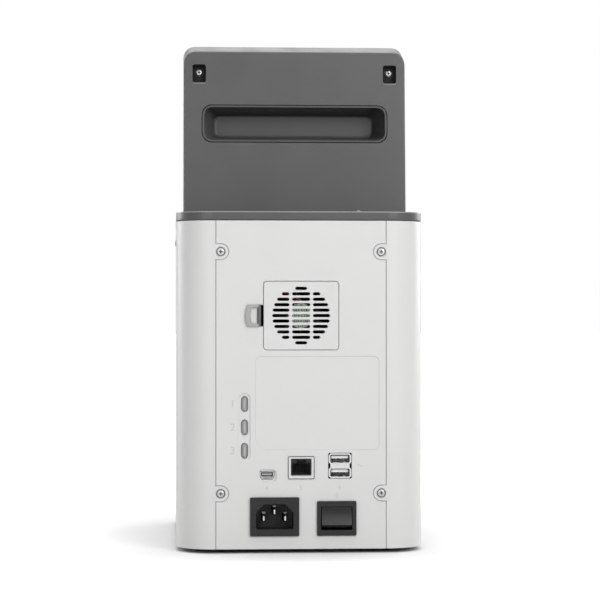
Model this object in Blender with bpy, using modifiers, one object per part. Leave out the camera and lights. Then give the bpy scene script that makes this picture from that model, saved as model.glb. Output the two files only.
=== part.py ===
"""Countertop biochemistry analyzer with a reagent disc chamber under a hinged lid.

Units are metres. +Z is up, the screen faces -Y and the connectors face +Y.
The origin is on the ground, below the middle of the housing.
"""

import math

import bmesh
import bpy
from mathutils import Matrix, Vector

# Spacing between pieces
FIT = 0.0003
SEAM = 0.0006
OVERRUN = 0.0010
OVERLAP = 0.0004
WELD = 0.00001

# Fineness of round shapes
CORNER_STEPS = 12
SMALL_CORNER_STEPS = 3
ROUND_STEPS = 40
PIN_STEPS = 16
SMOOTH_ANGLE = math.radians(32)

# Housing
BODY_WIDTH = 0.1620
BODY_DEPTH = 0.2250
BODY_CORNER = 0.0252
GROUND_GAP = 0.0028
DECK_TOP = 0.2224
BAND_HEIGHT = 0.0058
COVER_WALL = 0.0024
PANEL_WALL = 0.0026

# Base tray, its posts and the feet
TRAY_THICKNESS = 0.0030
FOOT_RADIUS = 0.0075
FOOT_CHAMFER = 0.0007
FOOT_STEM_RADIUS = 0.0020
FOOT_STEM_HEIGHT = 0.0026
FOOT_SIDE_INSET = 0.0190
FOOT_END_INSET = 0.0245
POST_RADIUS = 0.0040
POST_SIDE_INSET = 0.0050
POST_FRONT_INSET = 0.0070
POST_REAR_INSET = 0.0223

# Screw ears of the side covers, and the rear screws
EAR_RADIUS = 0.0049
EAR_THICKNESS = 0.0022
EAR_REACH = 0.0035
EAR_HEIGHTS = (0.0389, 0.1960)
COUNTERBORE_RADIUS = 0.0032
COUNTERBORE_DEPTH = 0.0012
SCREW_HEAD_RADIUS = 0.0027
SCREW_HEAD_HEIGHT = 0.0008
SCREW_SHANK_RADIUS = 0.0015
SCREW_LENGTH = 0.0060
SCREW_CLEARANCE = 0.0004
CROSS_LENGTH = 0.0024
CROSS_WIDTH = 0.0006
CROSS_DEPTH = 0.0011
LEDGE_WIDTH = 0.0099
LEDGE_HEIGHT = 0.0140
LEDGE_DEPTH = 0.0050

# Shallow recesses in the rear panel
LABEL_WIDTH = 0.0809
LABEL_HEIGHT = 0.0611
LABEL_X = -0.0105
LABEL_Z = 0.0975
LABEL_RADIUS = 0.0035
LABEL_CHAMFER = 0.0062
LABEL_DEPTH = 0.0003

# Rear buttons, in a shallow pill recess
BUTTON_X = 0.0368
BUTTON_MIDDLE_Z = 0.0819
BUTTON_PITCH = 0.0152
BUTTON_WIDTH = 0.0040
BUTTON_HEIGHT = 0.0099
BUTTON_EDGE = 0.0008
BUTTON_ROUND = 0.0004
BUTTON_RIM = 0.0008
BUTTON_DISH = 0.0004
BUTTON_PROUD = 0.0003
BUTTON_FLANGE = 0.0012
BUTTON_FLANGE_THICKNESS = 0.0015
BUTTON_RECESS_WIDTH = 0.0073
BUTTON_RECESS_HEIGHT = 0.0444
BUTTON_RECESS_DEPTH = 0.0005
BUTTON_TRAVEL = 0.0008

# Fan cover, its grille and its opening
COVER_WIDTH = 0.0487
COVER_HEIGHT = 0.0443
COVER_RADIUS = 0.0020
COVER_THICKNESS = 0.0024
COVER_SEAM = 0.0004
FAN_Z = 0.1545
GRILLE_ROWS = 5
GRILLE_PITCH = 0.00354
GRILLE_SLOT = 0.0021
GRILLE_RADIUS = 0.0190
GRILLE_MIDDLE = 0.01206
GRILLE_BRIDGE = 0.0015
GRILLE_END_SLOT = 0.0080
GUIDE_RIB = 0.0009

# Catch beside the fan cover
CATCH_SLOT_END = 0.0285
CATCH_SLOT_HALF = 0.0071
CATCH_TIP = 0.0365
CATCH_SHOULDER = 0.0350
CATCH_START = 0.0274
CATCH_HALF = 0.0072
CATCH_ARM = 0.0021
CATCH_BAR = 0.0033
CATCH_THICKNESS = 0.0016
CATCH_LEG_WIDTH = 0.0012
CATCH_LEG_HEIGHT = 0.0018
CATCH_SLIDER_START = 0.0218
CATCH_SLIDER_HALF = 0.0066
CATCH_SLIDER_THICKNESS = 0.0012
CATCH_WALL_START = 0.0265
CATCH_WALL_SINK = 0.0009

# Fan and its mount
FAN_SIZE = 0.0400
FAN_RADIUS = 0.0025
FAN_DEPTH = 0.0102
FAN_BORE = 0.0190
FAN_HOLE = 0.0017
FAN_HOLE_OFFSET = 0.0160
FAN_HUB_RADIUS = 0.0090
FAN_HUB_PLATE = 0.0014
FAN_STRUT_WIDTH = 0.0020
FAN_STRUTS = 3
FAN_STRUT_TURN = math.radians(40)
FAN_BEARING_RADIUS = 0.0024
FAN_BEARING_LENGTH = 0.0050
ROTOR_HUB_RADIUS = 0.0083
ROTOR_BLADE_TIP = 0.0184
ROTOR_BLADE_THICKNESS = 0.0009
ROTOR_BLADE_WIDTH = 0.0082
ROTOR_BLADES = 7
ROTOR_BLADE_TWIST = math.radians(38)
MOUNT_RIM = 0.0026
MOUNT_FLOOR = 0.0015
MOUNT_DEPTH = 0.0034
MOUNT_MARGIN = 0.0007

# Mini USB port
MINI_X = 0.0221
MINI_Z = 0.0506
MINI_RECESS_WIDTH = 0.0122
MINI_RECESS_HEIGHT = 0.0079
MINI_RECESS_RADIUS = 0.0025
MINI_RECESS_DEPTH = 0.0012
MINI_SHELL_WIDTH = 0.0088
MINI_SHELL_HEIGHT = 0.0050
MINI_SHOULDER = 0.0009
MINI_SHELL_WALL = 0.0004
MINI_SHELL_DEPTH = 0.0090
MINI_TONGUE_WIDTH = 0.0052
MINI_TONGUE_HEIGHT = 0.0012
MINI_CORE_DEPTH = 0.0015

# Network port
LAN_Z = 0.0556
LAN_WIDTH = 0.0171
LAN_HEIGHT = 0.0147
LAN_DEPTH = 0.0160
LAN_PROUD = 0.0003
LAN_POCKET_WIDTH = 0.0134
LAN_POCKET_HEIGHT = 0.0110
LAN_POCKET_RAISE = 0.0004
LAN_CAVITY_WIDTH = 0.0116
LAN_CAVITY_HEIGHT = 0.0070
LAN_KEY_WIDTH = 0.0060
LAN_KEY_HEIGHT = 0.0020
LAN_CAVITY_DEPTH = 0.0120
LAN_CAVITY_FLOOR = 0.0007

# Twin USB port
USB_X = -0.0253
USB_Z = 0.0568
USB_RING_WIDTH = 0.0148
USB_RING_HEIGHT = 0.0072
USB_RING_CHAMFER = 0.0014
USB_BRIDGE_WIDTH = 0.0126
USB_DEPTH = 0.0135
USB_PORT_WIDTH = 0.0126
USB_PORT_HEIGHT = 0.0052
USB_PORT_RADIUS = 0.0008
USB_PORT_PITCH = 0.0090
USB_TONGUE_WIDTH = 0.0112
USB_TONGUE_HEIGHT = 0.0019
USB_TONGUE_LENGTH = 0.0115
USB_CORE_DEPTH = 0.0020

# Power inlet
INLET_X = 0.0173
INLET_Z = 0.0239
INLET_WIDTH = 0.0319
INLET_HEIGHT = 0.0252
INLET_FLANGE = 0.0016
INLET_BODY_WIDTH = 0.0270
INLET_BODY_HEIGHT = 0.0198
INLET_BODY_DEPTH = 0.0180
INLET_CAVITY_WIDTH = 0.0244
INLET_CAVITY_HEIGHT = 0.0162
INLET_CAVITY_CHAMFER = 0.0054
INLET_CAVITY_RADIUS = 0.0012
INLET_BACK_WALL = 0.0019
PIN_WIDTH = 0.0020
PIN_HEIGHT = 0.0040
PIN_EDGE = 0.0005
PIN_SETBACK = 0.0044
PIN_TAIL = 0.0035
PIN_PITCH = 0.0070
PIN_DROP = 0.0014
PIN_RISE = 0.0029

# Rocker switch
SWITCH_X = -0.0231
SWITCH_Z = 0.0227
SWITCH_WIDTH = 0.0256
SWITCH_HEIGHT = 0.0225
SWITCH_FLANGE = 0.0014
SWITCH_BODY_WIDTH = 0.0226
SWITCH_BODY_HEIGHT = 0.0190
SWITCH_BODY_DEPTH = 0.0150
SWITCH_APERTURE_WIDTH = 0.0203
SWITCH_APERTURE_HEIGHT = 0.0152
SWITCH_BACK_WALL = 0.0020
ROCKER_WIDTH = 0.0195
ROCKER_TILT = math.radians(11.5)
ROCKER_PIVOT_DEPTH = 0.0070
ROCKER_FACE = 0.0084
ROCKER_DISH = 0.0008
ROCKER_STEPS = 8
ROCKER_FACE_HALF = 0.0059
ROCKER_SHOULDER = 0.0020
ROCKER_SHOULDER_HALF = 0.0069
ROCKER_TAIL = 0.0030
ROCKER_TAIL_HALF = 0.0026
TRUNNION_RADIUS = 0.0012
TRUNNION_LENGTH = 0.0212

# Side button
SIDE_BUTTON_SETBACK = 0.0425
SIDE_BUTTON_Z = 0.2026
SIDE_BUTTON_HEIGHT = 0.0042
SIDE_BUTTON_LENGTH = 0.0150
SIDE_BUTTON_PROUD = 0.0007

# Start button
START_RADIUS = 0.0080
START_Z = 0.1950
START_PROUD = 0.0007
START_FLANGE = 0.0014
START_DISH = 0.0006

# Deck frame
DECK_PLATE = 0.0025
DECK_RIM = 0.0032
DECK_EDGE = 0.0008
CABLE_SLOT_WIDTH = 0.0400
CABLE_SLOT_DEPTH = 0.0140
CABLE_SLOT_SETBACK = 0.0311

# Disc chamber
WELL_SETBACK = 0.0441
WELL_RADIUS = 0.0335
BOWL_WALL = 0.0018
BOWL_FLANGE_RADIUS = 0.0390
BOWL_FLANGE_HEIGHT = 0.0020
BOWL_FLOOR_TOP = 0.1980
BOWL_FLOOR = 0.0020
BOWL_HOLE = 0.0052
SEAL_INNER = 0.0338
SEAL_OUTER = 0.0351
SEAL_HEIGHT = 0.0014
HUB_FLANGE_RADIUS = 0.0090
HUB_FLANGE_HEIGHT = 0.0025
HUB_RUNNING_GAP = 0.0023
HUB_NOSE_RADIUS = 0.0035
HUB_NOSE_HEIGHT = 0.0092
HUB_NOSE_CHAMFER = 0.0007
HUB_SHAFT_RADIUS = 0.0020
HUB_SHAFT_LENGTH = 0.0130
DISC_RADIUS = 0.0300
DISC_THICKNESS = 0.0060
CUVETTES = 20
CUVETTE_CIRCLE = 0.0252
CUVETTE_RADIUS = 0.0021
MOTOR_RADIUS = 0.0140
MOTOR_HEIGHT = 0.0160
MOTOR_BOSS_RADIUS = 0.0060
MOTOR_BOSS_HEIGHT = 0.0037
OPTICS_WIDTH = 0.0440
OPTICS_DEPTH = 0.0320
OPTICS_LOW = 0.1820
OPTICS_HIGH = 0.2060
OPTICS_LAMP_RADIUS = 0.0080
OPTICS_LAMP_LENGTH = 0.0060

# Chamber lid and its hinge
LID_WIDTH = 0.1120
LID_DEPTH = 0.0770
LID_HEIGHT = 0.0085
LID_RADIUS = 0.0090
LID_EDGE = 0.0015
LID_WALL = 0.0030
LID_POCKET = 0.0055
LID_GAP = 0.0005
LID_TAB_WIDTH = 0.0280
LID_TAB_DEPTH = 0.0026
LID_TAB_LOW = 0.0020
LID_TAB_HEIGHT = 0.0036
HINGE_SETBACK = 0.0865
HINGE_RISE = 0.0042
HINGE_RADIUS = 0.0034
HINGE_HALF = 0.0400
HINGE_BORE = 0.0015
HINGE_PIN_RADIUS = 0.0012
LUG_WIDTH = 0.0060
LINER_THICKNESS = 0.0037

# Head
HEAD_WIDTH = 0.1520
HEAD_BEHIND_HINGE = 0.0691
HEAD_LEAN = math.radians(3.6)
HEAD_REAR_TOP = 0.33475
HEAD_TOP_DEPTH = 0.0179
SCREEN_TILT = math.radians(18.5)
HEAD_WALL = 0.0025
HEAD_CORNER = 0.0080
HEAD_EDGE = 0.0012

# Screw pockets of the head, with places measured up the rear face
POCKET_X = 0.0653
POCKET_RISE = 0.0974
POCKET_WIDTH = 0.0092
POCKET_HEIGHT = 0.0124
POCKET_RADIUS = 0.0015
POCKET_DEPTH = 0.0060
POCKET_WALL = 0.0016
POCKET_FLOOR = 0.0040
POCKET_SCREW_RISE = 0.0990
POCKET_WELL_RADIUS = 0.0031
POCKET_WELL_DEPTH = 0.0020
HEAD_SCREW_RADIUS = 0.0021
HEAD_SCREW_HEIGHT = 0.0015
HEAD_SCREW_SHANK = 0.0013
HEAD_SCREW_LENGTH = 0.0070

# Grip cup of the head
GRIP_WIDTH = 0.1266
GRIP_HEIGHT = 0.02535
GRIP_RISE = 0.0629
GRIP_RADIUS = 0.0065
GRIP_RIM = 0.0015
GRIP_DEPTH = 0.0210
GRIP_SIDE_DRAFT = 0.0067
GRIP_LOWER_DRAFT = 0.0041
GRIP_UPPER_DRAFT = 0.0025
GRIP_INNER_EDGE = 0.0022

# Screen
BEZEL_PLATE = 0.0024
BEZEL_DEPTH = 0.0065
BEZEL_BOTTOM = 0.0008
BEZEL_BACK_RAISE = 0.0040
BEZEL_BORDER = 0.0035
BEZEL_LOWER_RADIUS = 0.0010
GLASS_THICKNESS = 0.0015
GLASS_SINK = 0.0001
DISPLAY_WIDTH = 0.1224
DISPLAY_HEIGHT = 0.0924
DISPLAY_DEPTH = 0.0045
DISPLAY_RAISE = 0.0040

# Printer behind its door
DOOR_WIDTH = 0.0660
DOOR_HEIGHT = 0.0600
DOOR_Z = 0.1320
DOOR_RADIUS = 0.0030
DOOR_SEAM = 0.0004
PAPER_GAP = 0.0014
DOOR_PULL_WIDTH = 0.0160
DOOR_PULL_HEIGHT = 0.0030
DOOR_PULL_DEPTH = 0.0012
BAY_HALF_WIDTH = 0.0350
BAY_DEPTH = 0.0500
BAY_LOW = 0.0980
BAY_HIGH = 0.1680
BAY_WALL = 0.0018
ROLLER_RADIUS = 0.0040
ROLLER_SETBACK = 0.0080
ROLLER_DROP = 0.0075
ROLLER_SHAFT_RADIUS = 0.0015
ROLLER_ARM = 0.0020
ROLLER_ARM_HEIGHT = 0.0080
ROLLER_HALF = 0.0280
PAPER_RADIUS = 0.0190
PAPER_CORE = 0.0060
PAPER_HALF = 0.0285
PAPER_SETBACK = 0.0295
PRINT_HEAD_GAP = 0.0006
PRINT_HEAD_DEPTH = 0.0035
PRINT_HEAD_HEIGHT = 0.0100

# Boards and power supply
BOARD_TOP = 0.04795
BOARD_THICKNESS = 0.0016
BOARD_SIDE_INSET = 0.0290
BOARD_LENGTH = 0.1296
CHIP_HEIGHT = 0.0016
CHIP_PLACES = ((-0.0180, 0.0596, 0.0140), (0.0200, 0.0496, 0.0100), (0.0100, 0.0896, 0.0180))
BUTTON_BOARD_WIDTH = 0.0124
BUTTON_BOARD_THICKNESS = 0.0016
BUTTON_BOARD_TOP = 0.1040
KEY_SWITCH_WIDTH = 0.0050
KEY_SWITCH_HEIGHT = 0.0034
SUPPLY_HALF_WIDTH = 0.0400
SUPPLY_SETBACK = 0.0325
SUPPLY_LENGTH = 0.0880
SUPPLY_HEIGHT = 0.0340
SUPPLY_EDGE = 0.0010
VENT_ROWS = 7
VENT_LENGTH = 0.0500
VENT_WIDTH = 0.0020
VENT_PITCH = 0.0060
VENT_DEPTH = 0.0006

# Places that follow from the sizes above
HALF_WIDTH = BODY_WIDTH / 2
REAR = BODY_DEPTH / 2
FRONT = -REAR
CORNER_X = HALF_WIDTH - BODY_CORNER
CORNER_Y = REAR - BODY_CORNER
PANEL_HALF = CORNER_X - SEAM
COVER_TOP = DECK_TOP - BAND_HEIGHT - FIT
PANEL_INNER = REAR - PANEL_WALL
TRAY_TOP = GROUND_GAP + TRAY_THICKNESS
EAR_SCREW_X = CORNER_X - EAR_REACH
WELL_Y = FRONT + WELL_SETBACK
HINGE_Y = FRONT + HINGE_SETBACK
HINGE_Z = DECK_TOP + HINGE_RISE
HEAD_BASE = DECK_TOP + FIT
HEAD_REAR = HINGE_Y + HEAD_BEHIND_HINGE
BOARD_HALF_WIDTH = HALF_WIDTH - BOARD_SIDE_INSET
BOARD_REAR = PANEL_INNER - FIT
BOARD_FRONT = BOARD_REAR - BOARD_LENGTH

# Finish of each kind of surface: colour, roughness and metallic value
FINISHES = {
    "white_shell": ((0.70, 0.70, 0.69), 0.48, 0.0),
    "grey_shell": ((0.13, 0.13, 0.13), 0.42, 0.0),
    "dark_grip": ((0.09, 0.09, 0.09), 0.45, 0.0),
    "catch_grey": ((0.45, 0.45, 0.44), 0.45, 0.0),
    "button_grey": ((0.30, 0.30, 0.30), 0.50, 0.0),
    "black_plastic": ((0.02, 0.02, 0.02), 0.40, 0.0),
    "rubber": ((0.02, 0.02, 0.02), 0.80, 0.0),
    "glass": ((0.01, 0.01, 0.012), 0.06, 0.0),
    "steel": ((0.55, 0.55, 0.55), 0.30, 1.0),
    "clear_disc": ((0.62, 0.68, 0.72), 0.15, 0.0),
    "board_green": ((0.02, 0.13, 0.06), 0.45, 0.0),
    "paper": ((0.80, 0.80, 0.78), 0.85, 0.0),
    "port_white": ((0.75, 0.75, 0.73), 0.45, 0.0),
}

# Directions of an outline's own axes for a slab that is extruded along X, Y or Z
SLAB_FRAMES = {
    "X": Matrix(((0, 0, 1), (1, 0, 0), (0, 1, 0))),
    "Y": Matrix(((1, 0, 0), (0, 0, -1), (0, 1, 0))),
    "Z": Matrix.Identity(3),
}
SLAB_DIRECTIONS = {"X": Vector((1, 0, 0)), "Y": Vector((0, 1, 0)), "Z": Vector((0, 0, 1))}

# Turn that brings a turned piece's own Z axis onto X, Y or Z
TURNED_ROTATIONS = {"X": (0, math.pi / 2, 0), "Y": (-math.pi / 2, 0, 0), "Z": (0, 0, 0)}


def clear_scene():
    for thing in list(bpy.data.objects):
        bpy.data.objects.remove(thing)


def make_collection(name):
    group = bpy.data.collections.new(name)
    bpy.context.scene.collection.children.link(group)
    return group


def make_material(name):
    colour, roughness, metallic = FINISHES[name]
    finish = bpy.data.materials.new(name)
    finish.use_nodes = True
    shader = finish.node_tree.nodes["Principled BSDF"]
    shader.inputs["Base Color"].default_value = (*colour, 1)
    shader.inputs["Roughness"].default_value = roughness
    shader.inputs["Metallic"].default_value = metallic
    finish.diffuse_color = (*colour, 1)
    return finish


def place(name, mesh, finish, origin=None, carrier=None):
    """Add a mesh to the model with its origin on the given point, or on the middle of its box.

    A mesh without a finish is a tool that cuts or joins, and goes with the other tools.
    """
    if origin is None:
        lows = [min(point.co[i] for point in mesh.vertices) for i in range(3)]
        highs = [max(point.co[i] for point in mesh.vertices) for i in range(3)]
        origin = [(low + high) / 2 for low, high in zip(lows, highs)]
    mesh.transform(Matrix.Translation(-Vector(origin)))
    if mesh.polygons:
        mesh.shade_smooth()
        mesh.set_sharp_from_angle(angle=SMOOTH_ANGLE)
    thing = bpy.data.objects.new(name, mesh)
    thing.location = origin
    thing.parent = carrier
    if finish:
        mesh.materials.append(bpy.data.materials.get(finish) or make_material(finish))
        parts.objects.link(thing)
    else:
        tools.objects.link(thing)
        thing.hide_render = True
        thing.display_type = "WIRE"
    return thing


def arc(centre, radius, start, end, steps):
    """Points along an arc between two angles in degrees."""
    points = []
    for step in range(steps + 1):
        angle = math.radians(start + (end - start) * step / steps)
        points.append((centre[0] + radius * math.cos(angle), centre[1] + radius * math.sin(angle)))
    return points


def circle(radius, centre=(0, 0), steps=ROUND_STEPS):
    return arc(centre, radius, 0, 360, steps)[:-1]


def rounded_rectangle(width, height, radius, centre=(0, 0), steps=SMALL_CORNER_STEPS, lower=None):
    """Outline with rounded corners, whose two lower corners may have another radius."""
    lower = radius if lower is None else lower
    corners = ((1, 1, 0, radius), (-1, 1, 90, radius), (-1, -1, 180, lower), (1, -1, 270, lower))
    points = []
    for side, end, start, corner in corners:
        middle = (centre[0] + side * (width / 2 - corner), centre[1] + end * (height / 2 - corner))
        points += arc(middle, corner, start, start + 90, steps)
    return points


def pill(width, height, centre=(0, 0), steps=4):
    """Outline with two half-round ends along its longer side."""
    radius = min(width, height) / 2
    reach = max(width, height) / 2 - radius
    if width > height:
        right = arc((centre[0] + reach, centre[1]), radius, -90, 90, steps)
        left = arc((centre[0] - reach, centre[1]), radius, 90, 270, steps)
        return right + left
    upper = arc((centre[0], centre[1] + reach), radius, 0, 180, steps)
    under = arc((centre[0], centre[1] - reach), radius, 180, 360, steps)
    return upper + under


def mirrored(outline):
    return [(-u, v) for u, v in reversed(outline)]


def slab(name, finish, outlines, low, high, axis="Z", edge=0, origin=None, carrier=None):
    """Flat piece between two levels along an axis; the outlines after the first are holes."""
    curve = bpy.data.curves.new(name, "CURVE")
    curve.dimensions = "2D"
    curve.fill_mode = "BOTH"
    curve.extrude = (high - low) / 2 - edge
    curve.bevel_depth = edge
    curve.bevel_resolution = 1
    curve.offset = -edge
    for outline in outlines:
        spline = curve.splines.new("POLY")
        spline.points.add(len(outline) - 1)
        for point, (u, v) in zip(spline.points, outline):
            point.co = (u, v, 0, 1)
        spline.use_cyclic_u = True
    maker = bpy.data.objects.new(name, curve)
    tools.objects.link(maker)
    bpy.context.view_layer.update()
    graph = bpy.context.evaluated_depsgraph_get()
    mesh = bpy.data.meshes.new_from_object(maker.evaluated_get(graph))
    mesh.name = name
    bpy.data.objects.remove(maker)
    form = bmesh.new()
    form.from_mesh(mesh)
    bmesh.ops.remove_doubles(form, verts=form.verts, dist=WELD)
    bmesh.ops.recalc_face_normals(form, faces=form.faces)
    form.to_mesh(mesh)
    form.free()
    mesh.materials.clear()
    middle = Matrix.Translation(SLAB_DIRECTIONS[axis] * (low + high) / 2)
    mesh.transform(middle @ SLAB_FRAMES[axis].to_4x4())
    return place(name, mesh, finish, origin, carrier)


def block(name, finish, one_corner, other_corner, edge=0, origin=None, carrier=None):
    """Box between two opposite corners, with rounded edges where an edge radius is given."""
    size = [abs(b - a) for a, b in zip(one_corner, other_corner)]
    middle = [(a + b) / 2 for a, b in zip(one_corner, other_corner)]
    form = bmesh.new()
    bmesh.ops.create_cube(form, size=1)
    bmesh.ops.scale(form, vec=size, verts=form.verts)
    bmesh.ops.translate(form, vec=middle, verts=form.verts)
    mesh = bpy.data.meshes.new(name)
    form.to_mesh(mesh)
    form.free()
    thing = place(name, mesh, finish, origin, carrier)
    if edge:
        rounding = thing.modifiers.new("Rounded edges", "BEVEL")
        rounding.width = edge
        rounding.segments = 2
    return thing


def cylinder(name, finish, radius, low, high, across, axis="Z", steps=ROUND_STEPS, carrier=None):
    """Round bar between two levels along an axis, through a point given as on a slab's outline."""
    form = bmesh.new()
    bmesh.ops.create_cone(
        form, cap_ends=True, segments=steps, radius1=radius, radius2=radius, depth=high - low
    )
    mesh = bpy.data.meshes.new(name)
    form.to_mesh(mesh)
    form.free()
    frame = SLAB_FRAMES[axis]
    middle = frame @ Vector((across[0], across[1], 0)) + SLAB_DIRECTIONS[axis] * (low + high) / 2
    mesh.transform(Matrix.Translation(middle) @ frame.to_4x4())
    return place(name, mesh, finish, middle, carrier)


def turned(name, finish, profile, centre, axis="Z", steps=ROUND_STEPS, closed=False, carrier=None):
    """Turned piece from (radius, height) points that run down its outer side."""
    mesh = bpy.data.meshes.new(name)
    form = bmesh.new()
    points = [form.verts.new((radius, 0, height)) for radius, height in profile]
    ends = points[1:] + points[:1] if closed else points[1:]
    for start, end in zip(points, ends):
        form.edges.new((start, end))
    form.to_mesh(mesh)
    form.free()
    thing = place(name, mesh, finish, (0, 0, 0), carrier)
    thing.location = centre
    thing.rotation_euler = TURNED_ROTATIONS[axis]
    screw = thing.modifiers.new("Turning", "SCREW")
    screw.steps = steps
    screw.render_steps = steps
    screw.use_merge_vertices = True
    screw.merge_threshold = WELD
    return thing


def bevel_edges(form, chosen, radius, segments):
    bmesh.ops.bevel(
        form,
        geom=chosen,
        offset=radius,
        offset_type="OFFSET",
        segments=segments,
        profile=0.5,
        affect="EDGES",
    )


def tapered(name, finish, near, far, low, high, corner, floor_edge=0, carrier=None):
    """Block along Z between a far and a near rectangle, each (width, bottom, top)."""
    form = bmesh.new()
    bmesh.ops.create_cube(form, size=1)
    for point in form.verts:
        width, bottom, top = near if point.co.z > 0 else far
        x = math.copysign(width / 2, point.co.x)
        y = top if point.co.y > 0 else bottom
        point.co = (x, y, high if point.co.z > 0 else low)
    long_edges = [e for e in form.edges if e.verts[0].co.z != e.verts[1].co.z]
    bevel_edges(form, long_edges, corner, CORNER_STEPS // 2)
    if floor_edge:
        floor_edges = [e for e in form.edges if all(v.co.z < low + WELD for v in e.verts)]
        bevel_edges(form, floor_edges, floor_edge, SMALL_CORNER_STEPS)
    mesh = bpy.data.meshes.new(name)
    form.to_mesh(mesh)
    form.free()
    return place(name, mesh, finish, (0, 0, 0), carrier)


def change(target, tool, operation):
    step = target.modifiers.new(tool.name, "BOOLEAN")
    step.operation = operation
    step.object = tool


def carve(target, *cutters):
    for cutter in cutters:
        change(target, cutter, "DIFFERENCE")


def fuse(target, *pieces):
    for piece in pieces:
        change(target, piece, "UNION")


def tilted_empty(name, origin, along, up, outward):
    """Empty whose own axes lie along a leaning face."""
    frame = bpy.data.objects.new(name, None)
    parts.objects.link(frame)
    frame.matrix_world = Matrix.Translation(origin) @ Matrix((along, up, outward)).transposed().to_4x4()
    return frame


def make_base_tray():
    inset = COVER_WALL + FIT
    holes = [circle(FOOT_STEM_RADIUS + FIT, spot, PIN_STEPS) for spot in foot_places()]
    outline = rounded_rectangle(
        BODY_WIDTH - 2 * inset,
        BODY_DEPTH - 2 * (PANEL_WALL + FIT),
        BODY_CORNER - inset,
        steps=CORNER_STEPS,
    )
    tray = slab("base_tray", "grey_shell", [outline] + holes, GROUND_GAP, TRAY_TOP)
    post_top = BOARD_TOP - BOARD_THICKNESS - FIT
    post_x = BOARD_HALF_WIDTH - POST_SIDE_INSET
    for x in (-post_x, post_x):
        for y in (BOARD_FRONT + POST_FRONT_INSET, BOARD_REAR - POST_REAR_INSET):
            post = cylinder(
                "tray_post", None, POST_RADIUS, TRAY_TOP - OVERLAP, post_top, (x, y), steps=PIN_STEPS
            )
            fuse(tray, post)


def foot_places():
    x = HALF_WIDTH - FOOT_SIDE_INSET
    y = REAR - FOOT_END_INSET
    return [(-x, -y), (x, -y), (-x, y), (x, y)]


def make_feet():
    names = ("foot_front_left", "foot_front_right", "foot_rear_left", "foot_rear_right")
    pad_top = GROUND_GAP - FIT
    profile = [
        (0, pad_top + FOOT_STEM_HEIGHT),
        (FOOT_STEM_RADIUS, pad_top + FOOT_STEM_HEIGHT),
        (FOOT_STEM_RADIUS, pad_top),
        (FOOT_RADIUS, pad_top),
        (FOOT_RADIUS, FOOT_CHAMFER),
        (FOOT_RADIUS - FOOT_CHAMFER, 0),
        (0, 0),
    ]
    for name, (x, y) in zip(names, foot_places()):
        turned(name, "rubber", profile, (x, y, 0), steps=PIN_STEPS)


def ear_outline(radius, end, z):
    """D shape around a rear screw that runs out to the side at the given X."""
    return arc((EAR_SCREW_X, z), radius, 90, 270, CORNER_STEPS) + [(end, z - radius), (end, z + radius)]


def ear_shape(side, radius, end, z):
    shape = ear_outline(radius, end, z)
    return mirrored(shape) if side < 0 else shape


def make_side_cover(name, side):
    rear_corner = (CORNER_X, CORNER_Y)
    front_corner = (CORNER_X, -CORNER_Y)
    inner_radius = BODY_CORNER - COVER_WALL
    outline = arc(rear_corner, BODY_CORNER, 90, 0, CORNER_STEPS)
    outline += arc(front_corner, BODY_CORNER, 0, -90, CORNER_STEPS)
    outline += arc(front_corner, inner_radius, -90, 0, CORNER_STEPS)
    outline += arc(rear_corner, inner_radius, 0, 90, CORNER_STEPS)
    if side < 0:
        outline = mirrored(outline)
    cover = slab(name, "white_shell", [outline], GROUND_GAP, COVER_TOP)
    for z in EAR_HEIGHTS:
        shape = ear_shape(side, EAR_RADIUS, CORNER_X + OVERLAP, z)
        across = (side * EAR_SCREW_X, z)
        seat = REAR - COUNTERBORE_DEPTH
        bore = SCREW_SHANK_RADIUS + SCREW_CLEARANCE
        fuse(cover, slab("ear", None, [shape], REAR - EAR_THICKNESS, REAR, "Y"))
        carve(
            cover,
            cylinder("ear_counterbore", None, COUNTERBORE_RADIUS, seat, REAR + OVERRUN, across, "Y"),
            cylinder("ear_bore", None, bore, PANEL_INNER, REAR, across, "Y", PIN_STEPS),
        )
    return cover


def screw_profile(head_radius, head_height, shank_radius, length):
    return [
        (0, head_height),
        (head_radius, head_height),
        (head_radius, 0),
        (shank_radius, 0),
        (shank_radius, -length),
        (0, -length),
    ]


def cut_cross(screw, head_height, carrier=None):
    """Cross recess in a screw whose own Z axis points out of its head."""
    deep = head_height - CROSS_DEPTH
    half_length = CROSS_LENGTH / 2
    half_width = CROSS_WIDTH / 2
    for x, y in ((half_length, half_width), (half_width, half_length)):
        bar = block("cross_bar", None, (-x, -y, deep), (x, y, head_height + OVERRUN), carrier=carrier)
        bar.matrix_world = screw.matrix_basis @ bar.matrix_basis
        if screw.parent:
            bar.matrix_world = screw.parent.matrix_world @ bar.matrix_world
        carve(screw, bar)


def make_rear_screws():
    profile = screw_profile(SCREW_HEAD_RADIUS, SCREW_HEAD_HEIGHT, SCREW_SHANK_RADIUS, SCREW_LENGTH)
    heights = {"lower": EAR_HEIGHTS[0], "upper": EAR_HEIGHTS[1]}
    for level, z in heights.items():
        for side_name, side in (("left", -1), ("right", 1)):
            seat = REAR - COUNTERBORE_DEPTH + FIT
            centre = (side * EAR_SCREW_X, seat, z)
            screw = turned(f"rear_screw_{level}_{side_name}", "steel", profile, centre, "Y", PIN_STEPS)
            cut_cross(screw, SCREW_HEAD_HEIGHT)


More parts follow.
